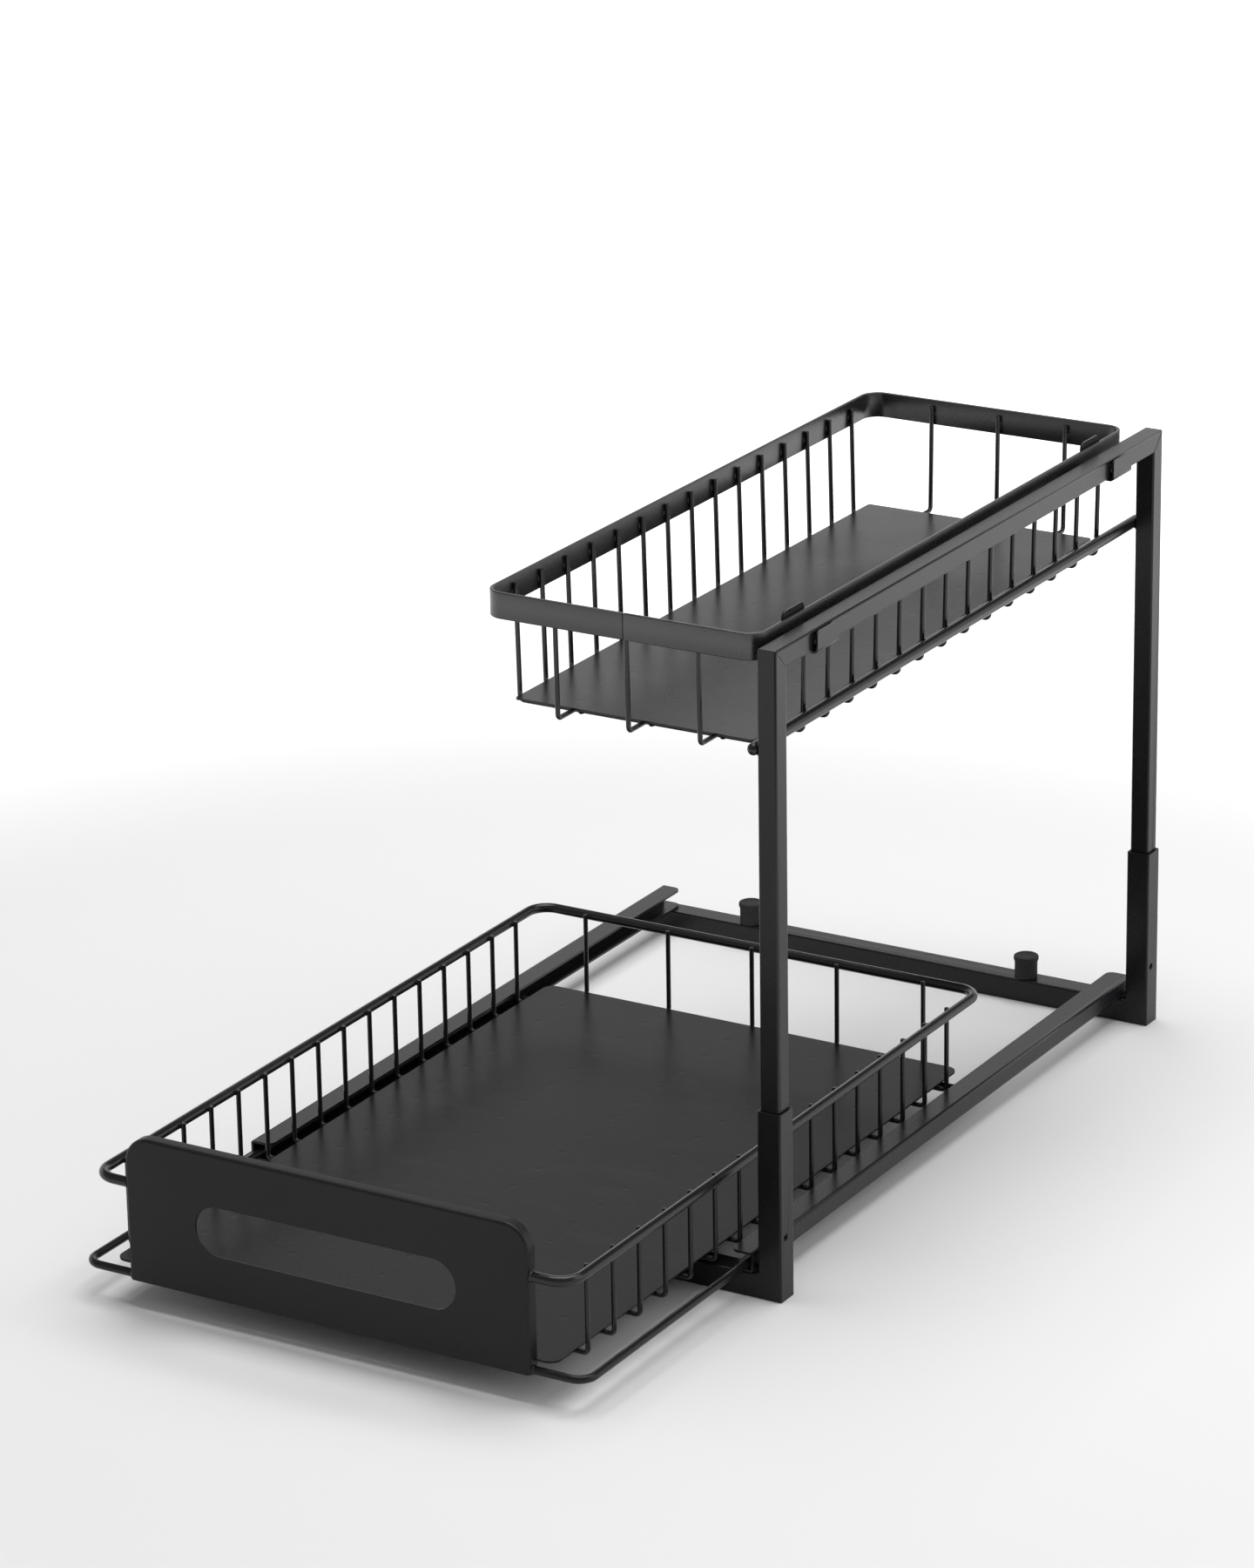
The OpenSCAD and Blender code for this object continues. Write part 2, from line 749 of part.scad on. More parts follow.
module basket_band() {
    inner = band_corner - band_sheet;
    color(COATED) placed()
        translate([basket_x - basket_width / 2, band_front_y, band_bottom])
            difference() {
                linear_extrude(band_height)
                    difference() {
                        rounded_square([basket_width, basket_length], band_corner);
                        translate([band_sheet, band_sheet])
                            rounded_square([basket_width - 2 * band_sheet,
                                basket_length - 2 * band_sheet], inner);
                    }
                translate([basket_width / 2 + basket_wire_shift - seam_width / 2, -1, -1])
                    cube([seam_width, 1 + seam_depth, band_height + 2]);
            }
}

module basket_cross_wires() {
    low = basket_wire_half - basket_taper;
    color(COATED_LIGHT) placed()
        for (i = [1:basket_cross_count])
            cross_wire(band_front_y + band_sheet + i * basket_bay,
                [[basket_x - basket_wire_half, wire_start], [basket_x - low, basket_cross_z],
                 [basket_x + low, basket_cross_z], [basket_x + basket_wire_half, wire_start]],
                wire_bend);
}

module basket_length_wires() {
    low_front = basket_wire_front_y + basket_taper;
    low_rear = basket_wire_rear_y - basket_taper;
    middle = (basket_length_count - 1) / 2;
    color(COATED_LIGHT) placed()
        for (i = [0:basket_length_count - 1])
            length_wire(basket_wire_x + (i - middle) * basket_length_pitch,
                [[basket_wire_front_y, wire_start], [low_front, basket_length_z],
                 [low_rear, basket_length_z], [basket_wire_rear_y, wire_start]],
                wire_bend);
}

module basket_tray() {
    color(COATED) placed()
        sheet_tray(basket_tray_left, basket_tray_right, basket_tray_front_y,
            basket_tray_rear_y, basket_tray_z, basket_tray_corner);
}

front_cross_tube();
rear_cross_tube();
front_post();
rear_post();
tube_end_caps();
left_rail();
right_rail();
front_leg();
top_rail();
rear_leg();
leg_plugs();
lock_screws();
support_bar();
front_hook();
rear_hook();
rear_stops();
front_stops();
drawer_front();
drawer_rim();
drawer_cross_wires();
drawer_length_wires();
drawer_rear_wires();
drawer_tray();
slide_loop();
basket_band();
basket_cross_wires();
basket_length_wires();
basket_tray();
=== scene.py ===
"""Under sink organizer: a wire drawer in a low welded base, and a wire basket above it."""

import json
import math

import bmesh
import bpy
from bpy.props import (
    FloatProperty,
    FloatVectorProperty,
    IntProperty,
    PointerProperty,
)
from mathutils import Matrix, Vector

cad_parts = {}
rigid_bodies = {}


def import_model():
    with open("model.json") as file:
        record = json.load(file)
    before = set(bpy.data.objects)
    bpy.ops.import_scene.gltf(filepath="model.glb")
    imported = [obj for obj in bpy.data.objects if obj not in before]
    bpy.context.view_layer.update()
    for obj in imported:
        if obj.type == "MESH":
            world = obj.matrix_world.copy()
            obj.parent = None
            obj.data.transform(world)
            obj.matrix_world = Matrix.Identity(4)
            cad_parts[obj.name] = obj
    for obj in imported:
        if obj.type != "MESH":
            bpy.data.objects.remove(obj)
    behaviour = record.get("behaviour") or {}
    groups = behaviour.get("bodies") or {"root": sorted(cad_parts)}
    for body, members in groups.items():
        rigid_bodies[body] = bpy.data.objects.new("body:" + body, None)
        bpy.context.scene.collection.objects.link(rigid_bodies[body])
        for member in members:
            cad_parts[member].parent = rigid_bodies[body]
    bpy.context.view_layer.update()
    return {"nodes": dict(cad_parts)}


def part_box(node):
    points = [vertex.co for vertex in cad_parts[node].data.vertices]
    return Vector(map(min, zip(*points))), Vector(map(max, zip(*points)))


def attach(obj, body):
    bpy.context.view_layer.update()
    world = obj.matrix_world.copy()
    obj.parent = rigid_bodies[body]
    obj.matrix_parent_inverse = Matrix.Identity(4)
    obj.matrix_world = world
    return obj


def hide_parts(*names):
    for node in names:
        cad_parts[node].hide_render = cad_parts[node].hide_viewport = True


bl_info = {
    "name": "Under sink organizer",
    "version": (1, 0, 0),
    "blender": (4, 5, 0),
    "location": "3D View > Sidebar > Organizer",
    "description": "Makes the wires, panel, band, stops, welds and finishes of the organizer",
    "category": "Object",
}

for startup_object in list(bpy.data.objects):
    bpy.data.objects.remove(startup_object)
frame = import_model()
MM = 0.001


def low(node):
    """The lowest corner of a CAD node."""
    return Vector(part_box(node)[0])


def high(node):
    """The highest corner of a CAD node."""
    return Vector(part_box(node)[1])


def middle(node):
    """The middle of a CAD node's box."""
    return (low(node) + high(node)) / 2


# Sizes and colours that a user may change


class WireSizes(bpy.types.PropertyGroup):
    thin: FloatProperty(
        name="Thin wire",
        description="Diameter of the drawer's and the basket's thin wires",
        default=2.4 * MM,
        unit="LENGTH",
    )
    thin_bend: FloatProperty(
        name="Thin wire bend",
        description="Bend radius of the thin wires' centre line",
        default=2.4 * MM,
        unit="LENGTH",
    )
    rim_bend: FloatProperty(
        name="Rim bend",
        description="Bend radius of the rim's centre line",
        default=11 * MM,
        unit="LENGTH",
    )
    loop_bend: FloatProperty(
        name="Loop bend",
        description="Bend radius of the sliding loop's centre line",
        default=8 * MM,
        unit="LENGTH",
    )
    drawer_cross: IntProperty(
        name="Drawer cross wires",
        description="Number of crosswise wires of the drawer",
        default=16,
        min=2,
    )
    drawer_length: IntProperty(
        name="Drawer length wires",
        description="Number of lengthwise wires of the drawer",
        default=5,
        min=2,
    )
    basket_cross: IntProperty(
        name="Basket cross wires",
        description="Number of crosswise wires of the basket",
        default=15,
        min=2,
    )
    basket_length: IntProperty(
        name="Basket length wires",
        description="Number of lengthwise wires of the basket",
        default=3,
        min=2,
    )
    basket_taper: FloatProperty(
        name="Basket taper",
        description="How far the basket's walls lean in towards the bottom",
        default=1.2 * MM,
        unit="LENGTH",
    )
    wire_sides: IntProperty(
        name="Wire sides",
        description="Number of flats round a thin wire",
        default=16,
        min=6,
    )


class SheetSizes(bpy.types.PropertyGroup):
    panel_sheet: FloatProperty(
        name="Panel sheet",
        description="Sheet thickness of the drawer front",
        default=1.2 * MM,
        unit="LENGTH",
    )
    panel_corner: FloatProperty(
        name="Panel corner",
        description="Radius of the drawer front's top corners",
        default=13 * MM,
        unit="LENGTH",
    )
    panel_fold: FloatProperty(
        name="Panel fold",
        description="Outer radius of the fold between the front and its turned edge",
        default=1.7 * MM,
        unit="LENGTH",
    )
    slot_length: FloatProperty(
        name="Slot length",
        description="Length of the finger slot",
        default=142 * MM,
        unit="LENGTH",
    )
    slot_height: FloatProperty(
        name="Slot height",
        description="Height of the finger slot",
        default=25 * MM,
        unit="LENGTH",
    )
    slot_rise: FloatProperty(
        name="Slot rise",
        description="Height of the slot's lower edge above the panel's lower edge",
        default=22 * MM,
        unit="LENGTH",
    )
    band_sheet: FloatProperty(
        name="Band thickness",
        description="Thickness of the basket band",
        default=1.8 * MM,
        unit="LENGTH",
    )
    band_corner: FloatProperty(
        name="Band corner",
        description="Outer corner radius of the basket band",
        default=10 * MM,
        unit="LENGTH",
    )
    edge_round: FloatProperty(
        name="Edge rounding",
        description="Rounding that the coating gives to cut edges",
        default=0.25 * MM,
        unit="LENGTH",
    )


class Finishes(bpy.types.PropertyGroup):
    coat: FloatVectorProperty(
        name="Coat",
        description="Colour of the powder coat",
        default=(0.0096, 0.0094, 0.0108),
        subtype="COLOR",
        min=0,
        max=1,
    )
    rubber: FloatVectorProperty(
        name="Rubber",
        description="Colour of the rubber stops",
        default=(0.018, 0.018, 0.019),
        subtype="COLOR",
        min=0,
        max=1,
    )
    plastic: FloatVectorProperty(
        name="Plastic",
        description="Colour of the tube end caps and plugs",
        default=(0.014, 0.014, 0.015),
        subtype="COLOR",
        min=0,
        max=1,
    )
    steel: FloatVectorProperty(
        name="Screw steel",
        description="Colour of the blackened lock screws",
        default=(0.03, 0.03, 0.032),
        subtype="COLOR",
        min=0,
        max=1,
    )
    floor: FloatVectorProperty(
        name="Floor",
        description="Colour of the floor",
        default=(0.9, 0.9, 0.9),
        subtype="COLOR",
        min=0,
        max=1,
    )


class Studio(bpy.types.PropertyGroup):
    lens: FloatProperty(
        name="Lens",
        description="Focal length of the camera in millimetres",
        default=134.62,
    )
    azimuth: FloatProperty(
        name="Azimuth",
        description="How far the camera stands round to the right of the front",
        default=math.radians(30.81),
        subtype="ANGLE",
    )
    elevation: FloatProperty(
        name="Elevation",
        description="How far the camera stands above the floor",
        default=math.radians(19.72),
        subtype="ANGLE",
    )
    roll: FloatProperty(
        name="Roll",
        description="How far the camera is turned about its own axis",
        default=math.radians(-0.93),
        subtype="ANGLE",
    )
    distance: FloatProperty(
        name="Distance",
        description="Distance from the camera to the point it looks at",
        default=2.81,
        unit="LENGTH",
    )
    aim: FloatVectorProperty(
        name="Aim",
        description="The point that the camera looks at",
        default=(0.014365, -0.03131, 0.20433),
        subtype="XYZ",
    )
    sky: FloatProperty(
        name="Surroundings",
        description="Brightness of the surroundings behind the object",
        default=1.0,
    )
    high_sky: FloatProperty(
        name="High surroundings",
        description="Brightness of the surroundings high above the horizon",
        default=0.12,
    )
    front_sky: FloatProperty(
        name="Front surroundings",
        description="Brightness of the surroundings in front of the object",
        default=0.32,
    )
    floor_near: FloatProperty(
        name="Lamp-lit floor",
        description="Distance from the middle within which only the lamps light the floor",
        default=0.48,
        unit="LENGTH",
    )
    floor_far: FloatProperty(
        name="White floor",
        description="Distance from the middle beyond which the floor is plain white",
        default=1.2,
        unit="LENGTH",
    )
    key: FloatProperty(
        name="Key light",
        description="Power of the large light on the right",
        default=12.0,
        subtype="POWER",
    )
    top: FloatProperty(
        name="Top light",
        description="Power of the large light overhead",
        default=38.0,
        subtype="POWER",
    )


# Modelling helpers


def rings_between(verts):
    """The edges whose two ends are both among these vertices."""
    chosen = set(verts)
    found = {edge for vert in chosen for edge in vert.link_edges}
    return [edge for edge in found if edge.verts[0] in chosen and edge.verts[1] in chosen]


def start_ring(bm, centre, along, radius, sides):
    """A circle of edges round a point, square to a direction."""
    turn = along.to_track_quat("Z", "Y").to_matrix().to_4x4()
    made = bmesh.ops.create_circle(
        bm,
        cap_ends=False,
        radius=radius,
        segments=sides,
        matrix=Matrix.Translation(centre) @ turn,
    )
    return rings_between(made["verts"])


def draw_on(bm, edges, move, scale=1.0):
    """Draws a ring of edges out along a move, and returns the new ring."""
    made = bmesh.ops.extrude_edge_only(bm, edges=edges)
    verts = [item for item in made["geom"] if isinstance(item, bmesh.types.BMVert)]
    bmesh.ops.translate(bm, verts=verts, vec=move)
    if scale != 1.0:
        centre = sum((vert.co for vert in verts), Vector()) / len(verts)
        bmesh.ops.scale(
            bm,
            verts=verts,
            vec=(scale, scale, scale),
            space=Matrix.Translation(-centre),
        )
    return rings_between(verts)


def draw_round(bm, edges, centre, axis, angle, steps):
    """Sweeps a ring of edges round an axis, and returns the last ring."""
    verts = list({vert for edge in edges for vert in edge.verts})
    made = bmesh.ops.spin(
        bm,
        geom=verts + edges,
        cent=centre,
        axis=axis,
        angle=angle,
        steps=steps,
        use_merge=False,
        use_duplicate=False,
    )
    return [item for item in made["geom_last"] if isinstance(item, bmesh.types.BMEdge)]


def close_ring(bm, edges, along, tip):
    """Closes a wire's end with a small chamfer and a flat face."""
    edges = draw_on(bm, edges, along * tip, 0.78)
    bmesh.ops.edgeloop_fill(bm, edges=edges)


def bent_wire(bm, points, diameter, bend, sides, steps=7):
    """A round wire through the points, with a bend at each inner one and cut ends."""
    points = [Vector(point) for point in points]
    radius = diameter / 2
    tip = 0.28 * radius
    first_way = (points[1] - points[0]).normalized()
    here = points[0] + first_way * tip
    ring = start_ring(bm, here, first_way, radius, sides)
    first_ring = ring
    for before, corner, after in zip(points, points[1:], points[2:]):
        into = (corner - before).normalized()
        out = (after - corner).normalized()
        angle = into.angle(out)
        trim = bend * math.tan(angle / 2)
        start = corner - into * trim
        ring = draw_on(bm, ring, start - here)
        axis = into.cross(out).normalized()
        ring = draw_round(bm, ring, start + axis.cross(into) * bend, axis, angle, steps)
        here = corner + out * trim
    last_way = (points[-1] - points[-2]).normalized()
    ring = draw_on(bm, ring, points[-1] - last_way * tip - here)
    close_ring(bm, ring, last_way, tip)
    close_ring(bm, first_ring, -first_way, tip)


def turned(bm, profile, centre, sides):
    """A body turned about Z from a profile of (radius, height) pairs."""
    ring = start_ring(
        bm, centre + Vector((0, 0, profile[0][1])), Vector((0, 0, 1)), profile[0][0], sides
    )
    bmesh.ops.edgeloop_fill(bm, edges=ring)
    for (radius, height), (wider, higher) in zip(profile, profile[1:]):
        ring = draw_on(bm, ring, Vector((0, 0, higher - height)), wider / radius)
    bmesh.ops.edgeloop_fill(bm, edges=ring)


def nugget(bm, centre, size):
    """A small smooth weld nugget, size in metres each way from its middle."""
    bmesh.ops.create_icosphere(
        bm,
        subdivisions=2,
        radius=1.0,
        matrix=Matrix.Translation(centre) @ Matrix.Diagonal((*size, 1.0)),
    )


def bead(bm, start, end, radius, sides=12):
    """A rippled weld bead from one point to another."""
    start = Vector(start)
    way = Vector(end) - start
    steps = max(4, 2 * round(way.length / (1.3 * radius)))
    size = 0.35
    ring = start_ring(bm, start, way.normalized(), radius * size, sides)
    first_ring = ring
    for step in range(1, steps + 1):
        wanted = 0.35 if step == steps else (1.0, 0.9)[step % 2]
        ring = draw_on(bm, ring, way / steps, wanted / size)
        size = wanted
    bmesh.ops.edgeloop_fill(bm, edges=ring)
    bmesh.ops.edgeloop_fill(bm, edges=first_ring)


def cut_corners(bm, verts, radius, steps):
    """Rounds the corners of a flat outline and returns nothing."""
    bmesh.ops.bevel(
        bm,
        geom=verts,
        offset=radius,
        offset_type="OFFSET",
        segments=steps,
        profile=0.5,
        affect="VERTICES",
        material=-1,
    )


def outline(bm, corners):
    """A flat face on the given corners."""
    verts = [bmesh.ops.create_vert(bm, co=corner)["vert"][0] for corner in corners]
    return bm.faces.new(verts)


def soften(bm, angle, width, steps=2):
    """Rounds every edge that turns by more than the angle."""
    bm.normal_update()
    sharp = [
        edge
        for edge in bm.edges
        if len(edge.link_faces) == 2 and edge.calc_face_angle(0.0) > math.radians(angle)
    ]
    bmesh.ops.bevel(
        bm,
        geom=sharp,
        offset=width,
        offset_type="OFFSET",
        segments=steps,
        profile=0.5,
        affect="EDGES",
        clamp_overlap=True,
        material=-1,
    )


def finish(name, bm, body, material, nodes=(), smooth=32):
    """Makes the piece's object, smooths it, hangs it on the body it rides on, and hides the CAD
    nodes it replaces.
    """
    bmesh.ops.remove_doubles(bm, verts=bm.verts, dist=1e-7)
    bmesh.ops.recalc_face_normals(bm, faces=bm.faces)
    mesh = bpy.data.meshes.new(name)
    bm.to_mesh(mesh)
    bm.free()
    mesh.materials.append(material)
    mesh.shade_smooth()
    mesh.set_sharp_from_angle(angle=math.radians(smooth))
    piece = bpy.data.objects.new(name, mesh)
    bpy.context.scene.collection.objects.link(piece)
    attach(piece, body)
    if nodes:
        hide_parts(*nodes)
    return piece


# Material helpers


class Shading:
    """A material's node tree, with short calls for its nodes and links."""

    def __init__(self, name):
        self.material = bpy.data.materials.new(name)
        self.material.use_nodes = True
        self.tree = self.material.node_tree
        self.shader = self.tree.nodes["Principled BSDF"]
        self.place = self.node("ShaderNodeTexCoord").outputs["Object"]

    def node(self, kind, **settings):
        made = self.tree.nodes.new(kind)
        for key, value in settings.items():
            setattr(made, key, value)
        return made

    def join(self, source, target):
        self.tree.links.new(source, target)

    def noise(self, scale, detail=2.0, rough=0.5, stretch=None):
        place = self.place
        if stretch:
            mapping = self.node("ShaderNodeMapping")
            mapping.inputs["Scale"].default_value = stretch
            self.join(self.place, mapping.inputs["Vector"])
            place = mapping.outputs["Vector"]
        made = self.node("ShaderNodeTexNoise")
        made.inputs["Scale"].default_value = scale
        made.inputs["Detail"].default_value = detail
        made.inputs["Roughness"].default_value = rough
        self.join(place, made.inputs["Vector"])
        return made.outputs["Fac"]

    def fit(self, value, from_low, from_high, to_low, to_high):
        made = self.node("ShaderNodeMapRange")
        for key, number in (
            ("From Min", from_low),
            ("From Max", from_high),
            ("To Min", to_low),
            ("To Max", to_high),
        ):
            made.inputs[key].default_value = number
        self.join(value, made.inputs["Value"])
        return made.outputs["Result"]

    def sum(self, kind, first, second):
        made = self.node("ShaderNodeMath", operation=kind)
        for socket, value in zip(made.inputs, (first, second)):
            if isinstance(value, (int, float)):
                socket.default_value = value
            else:
                self.join(value, socket)
        return made.outputs["Value"]

    def shade(self, factor, first, second):
        made = self.node("ShaderNodeMix", data_type="RGBA")
        made.inputs["A"].default_value = (*first, 1)
        if isinstance(second, (tuple, list)):
            made.inputs["B"].default_value = (*second, 1)
        self.join(factor, made.inputs["Factor"])
        return made.outputs["Result"]

    def blend(self, factor, first, second):
        made = self.node("ShaderNodeMix", data_type="RGBA")
        self.join(first, made.inputs["A"])
        made.inputs["B"].default_value = (*second, 1)
        self.join(factor, made.inputs["Factor"])
        return made.outputs["Result"]

    def bump(self, height, distance, strength=1.0, before=None):
        made = self.node("ShaderNodeBump")
        made.inputs["Strength"].default_value = strength
        made.inputs["Distance"].default_value = distance
        self.join(height, made.inputs["Height"])
        if before:
            self.join(before, made.inputs["Normal"])
        return made.outputs["Normal"]


def darker(colour, share):
    """A colour scaled by a share."""
    return tuple(channel * share for channel in colour)


def coat_base(name, grain=1.0, level=0.28, matt=0.0):
    """Powder coat: a soft orange peel with a fine grain, slightly uneven in tone and gloss."""
    finishes = bpy.context.scene.organizer_finishes
    colour = tuple(finishes.coat)
    look = Shading(name)
    peel = look.noise(620, 3, 0.55)
    fine = look.noise(3300, 2, 0.6)
    broad = look.noise(11, 3, 0.6)
    tone = look.shade(look.fit(broad, 0.3, 0.7, 0, 1), darker(colour, 0.82), darker(colour, 1.2))
    flecks = look.fit(look.noise(2100, 1, 0.5), 0.71, 0.78, 0, 0.55)
    tone = look.blend(flecks, tone, (0.09, 0.09, 0.092))
    gloss = look.sum(
        "ADD",
        look.fit(broad, 0.3, 0.7, 0.22 + matt, 0.28 + matt),
        look.fit(fine, 0.35, 0.65, -0.03, 0.03),
    )
    relief = look.bump(peel, 0.00005 * grain)
    relief = look.bump(fine, 0.000018 * grain, before=relief)
    look.join(relief, look.shader.inputs["Normal"])
    look.shader.inputs["Specular IOR Level"].default_value = level
    return look, tone, gloss


def coat_finish(name, grain=1.0, level=0.28, matt=0.0):
    """Plain powder coat for tubes, wires, band, hooks and panel."""
    look, tone, gloss = coat_base(name, grain, level, matt)
    look.join(tone, look.shader.inputs["Base Color"])
    look.join(gloss, look.shader.inputs["Roughness"])
    return look.material


def rubbed_finish(name, along, where, depth):
    """Powder coat with bright rub marks along the slide on faces near a height."""
    look, tone, gloss = coat_base(name)
    parts = look.node("ShaderNodeSeparateXYZ")
    look.join(look.place, parts.inputs["Vector"])
    near = look.sum("ABSOLUTE", look.sum("SUBTRACT", parts.outputs["Z"], where), 0)
    mask = look.fit(near, depth, 0, 0, 1)
    marks = look.fit(look.noise(260, 4, 0.65, along), 0.5, 0.68, 0, 0.8)
    rubbed = look.sum("MULTIPLY", mask, marks)
    tone = look.blend(rubbed, tone, (0.045, 0.045, 0.047))
    gloss = look.sum("SUBTRACT", gloss, look.sum("MULTIPLY", rubbed, 0.14))
    look.join(tone, look.shader.inputs["Base Color"])
    look.join(gloss, look.shader.inputs["Roughness"])
    return look.material


def tray_finish(name, level, first_x, pitch_x, first_y, pitch_y, face):
    """Powder coat on sheet, with faint round dents where it is spot welded to the wires."""
    look, tone, gloss = coat_base(name, 0.8, level, 0.05)
    parts = look.node("ShaderNodeSeparateXYZ")
    look.join(look.place, parts.inputs["Vector"])

    def off_grid(value, first, pitch):
        turns = look.sum("DIVIDE", look.sum("SUBTRACT", value, first), pitch)
        turns = look.sum("SUBTRACT", look.sum("FRACT", look.sum("ADD", turns, 0.5), 0), 0.5)
        return look.sum("MULTIPLY", turns, pitch)

    across = off_grid(parts.outputs["X"], first_x, pitch_x)
    along = off_grid(parts.outputs["Y"], first_y, pitch_y)
    reach = look.sum(
        "SQRT",
        look.sum("ADD", look.sum("MULTIPLY", across, across), look.sum("MULTIPLY", along, along)),
        0,
    )
    dent = look.fit(reach, 0.0009, 0.0021, 0, 1)
    up = look.sum("GREATER_THAN", parts.outputs["Z"], face)
    dent = look.sum("MAXIMUM", dent, look.sum("SUBTRACT", 1, up))
    relief = look.bump(dent, 0.00004)
    old = look.shader.inputs["Normal"].links[0].from_node
    look.join(relief, old.inputs["Normal"].links[0].from_node.inputs["Normal"])
    scuffs = look.fit(look.noise(38, 5, 0.7, (0.35, 1, 1)), 0.56, 0.72, 0, 0.35)
    tone = look.blend(scuffs, tone, (0.03, 0.03, 0.031))
    look.join(tone, look.shader.inputs["Base Color"])
    look.join(gloss, look.shader.inputs["Roughness"])
    return look.material


def rubber_finish(name):
    """Matt rubber with a dusty bloom."""
    colour = tuple(bpy.context.scene.organizer_finishes.rubber)
    look = Shading(name)
    bloom = look.fit(look.noise(260, 4, 0.65), 0.42, 0.7, 0, 0.6)
    tone = look.shade(bloom, colour, darker(colour, 2.1))
    look.join(tone, look.shader.inputs["Base Color"])
    look.join(look.fit(bloom, 0, 0.6, 0.68, 0.86), look.shader.inputs["Roughness"])
    relief = look.bump(look.noise(1900, 3, 0.6), 0.00004)
    look.join(relief, look.shader.inputs["Normal"])
    look.shader.inputs["Specular IOR Level"].default_value = 0.35
    return look.material


def plastic_finish(name):
    """Moulded black plastic with a fine spark-eroded texture."""
    colour = tuple(bpy.context.scene.organizer_finishes.plastic)
    look = Shading(name)
    broad = look.noise(90, 3, 0.6)
    tone = look.shade(look.fit(broad, 0.3, 0.7, 0, 1), colour, darker(colour, 1.6))
    look.join(tone, look.shader.inputs["Base Color"])
    look.join(look.fit(broad, 0.3, 0.7, 0.46, 0.58), look.shader.inputs["Roughness"])
    relief = look.bump(look.noise(4200, 2, 0.6), 0.00002)
    look.join(relief, look.shader.inputs["Normal"])
    return look.material


def steel_finish(name):
    """Blackened screw steel with fine turning marks and rubbed spots."""
    colour = tuple(bpy.context.scene.organizer_finishes.steel)
    look = Shading(name)
    worn = look.fit(look.noise(900, 4, 0.7), 0.52, 0.7, 0, 0.8)
    tone = look.shade(worn, colour, darker(colour, 3.2))
    look.join(tone, look.shader.inputs["Base Color"])
    look.join(look.fit(worn, 0, 0.8, 0.48, 0.3), look.shader.inputs["Roughness"])
    relief = look.bump(look.noise(5200, 2, 0.5, (1, 0.2, 0.2)), 0.00001)
    look.join(relief, look.shader.inputs["Normal"])
    look.shader.inputs["Metallic"].default_value = 1.0
    return look.material


def material(name):
    """One of the organizer's finishes, made when it is first asked for."""
    made = bpy.data.materials.get(name)
    if made:
        return made
    wires = bpy.context.scene.organizer_wires
    if name == "frame_powder_coat":
        return coat_finish(name)
    if name == "wire_powder_coat":
        return coat_finish(name, 0.7, 0.4, -0.02)
    if name == "panel_powder_coat":
        return coat_finish(name, 1.15, 0.24, 0.14)
    if name == "band_powder_coat":
        return coat_finish(name, 1.0, 0.8, 0.04)
    if name == "rail_rubbed_coat":
        return rubbed_finish(name, (1, 0.02, 1), low("left_rail").z + 1.6 * MM, 1.2 * MM)
    if name == "loop_rubbed_coat":
        return rubbed_finish(name, (1, 0.03, 1), low("slide_loop").z, 0.9 * MM)
    if name == "drawer_tray_coat":
        first, last = low("drawer_cross_wires").y, high("drawer_cross_wires").y
        left, right = low("drawer_length_wires").x, high("drawer_length_wires").x
        return tray_finish(
            name,
            0.12,
            left + wires.thin / 2,
            (right - left - wires.thin) / (wires.drawer_length - 1),
            first + wires.thin / 2,
            (last - first - wires.thin) / (wires.drawer_cross - 1),
            high("drawer_tray").z - 0.3 * MM,
        )
    if name == "basket_tray_coat":
        first, last = low("basket_cross_wires").y, high("basket_cross_wires").y
        left, right = low("basket_length_wires").x, high("basket_length_wires").x
        return tray_finish(
            name,
            0.36,
            left + wires.thin / 2,
            (right - left - wires.thin) / (wires.basket_length - 1),
            first + wires.thin / 2,
            (last - first - wires.thin) / (wires.basket_cross - 1),
            high("basket_tray").z - 0.3 * MM,
        )
    if name == "stop_rubber_matt":
        return rubber_finish(name)
    if name == "cap_plastic":
        return plastic_finish(name)
    if name == "screw_steel_black":
        return steel_finish(name)
    raise ValueError(f"no finish called {name}")


def spread(first, last, count):
    """Evenly spaced values from the first to the last."""
    return [first + (last - first) * step / (count - 1) for step in range(count)]


def drawer_rows():
    """Y of the drawer's crosswise wires and X of its lengthwise ones."""
    wires = bpy.context.scene.organizer_wires
    half = wires.thin / 2
    rows = spread(
        low("drawer_cross_wires").y + half, high("drawer_cross_wires").y - half, wires.drawer_cross
    )
    columns = spread(
        low("drawer_length_wires").x + half,
        high("drawer_length_wires").x - half,
        wires.drawer_length,
    )
    return rows, columns


def basket_rows():
    """Y of the basket's crosswise wires and X of its lengthwise ones."""
    wires = bpy.context.scene.organizer_wires
    half = wires.thin / 2
    rows = spread(
        low("basket_cross_wires").y + half, high("basket_cross_wires").y - half, wires.basket_cross
    )
    columns = spread(
        low("basket_length_wires").x + half,
        high("basket_length_wires").x - half,
        wires.basket_length,
    )
    return rows, columns


def looped_wire(bm, node, bend, sides):
    """A wire from the panel's one side round the drawer to the other side, flat in Z."""
    box_low, box_high = low(node), high(node)
    half = (box_high.z - box_low.z) / 2
    height = box_low.z + half
    left, right = box_low.x + half, box_high.x - half
    front, rear = box_low.y + half, box_high.y - half
    panel_left, panel_right = low("drawer_front").x, high("drawer_front").x
    bent_wire(
        bm,
        [
            (panel_right - half, front, height),
            (right, front, height),
            (right, rear, height),
            (left, rear, height),
            (left, front, height),
            (panel_left + half, front, height),
        ],
        2 * half,
        bend,
        sides,
        9,
    )


# Operators: one for each piece or group of like pieces


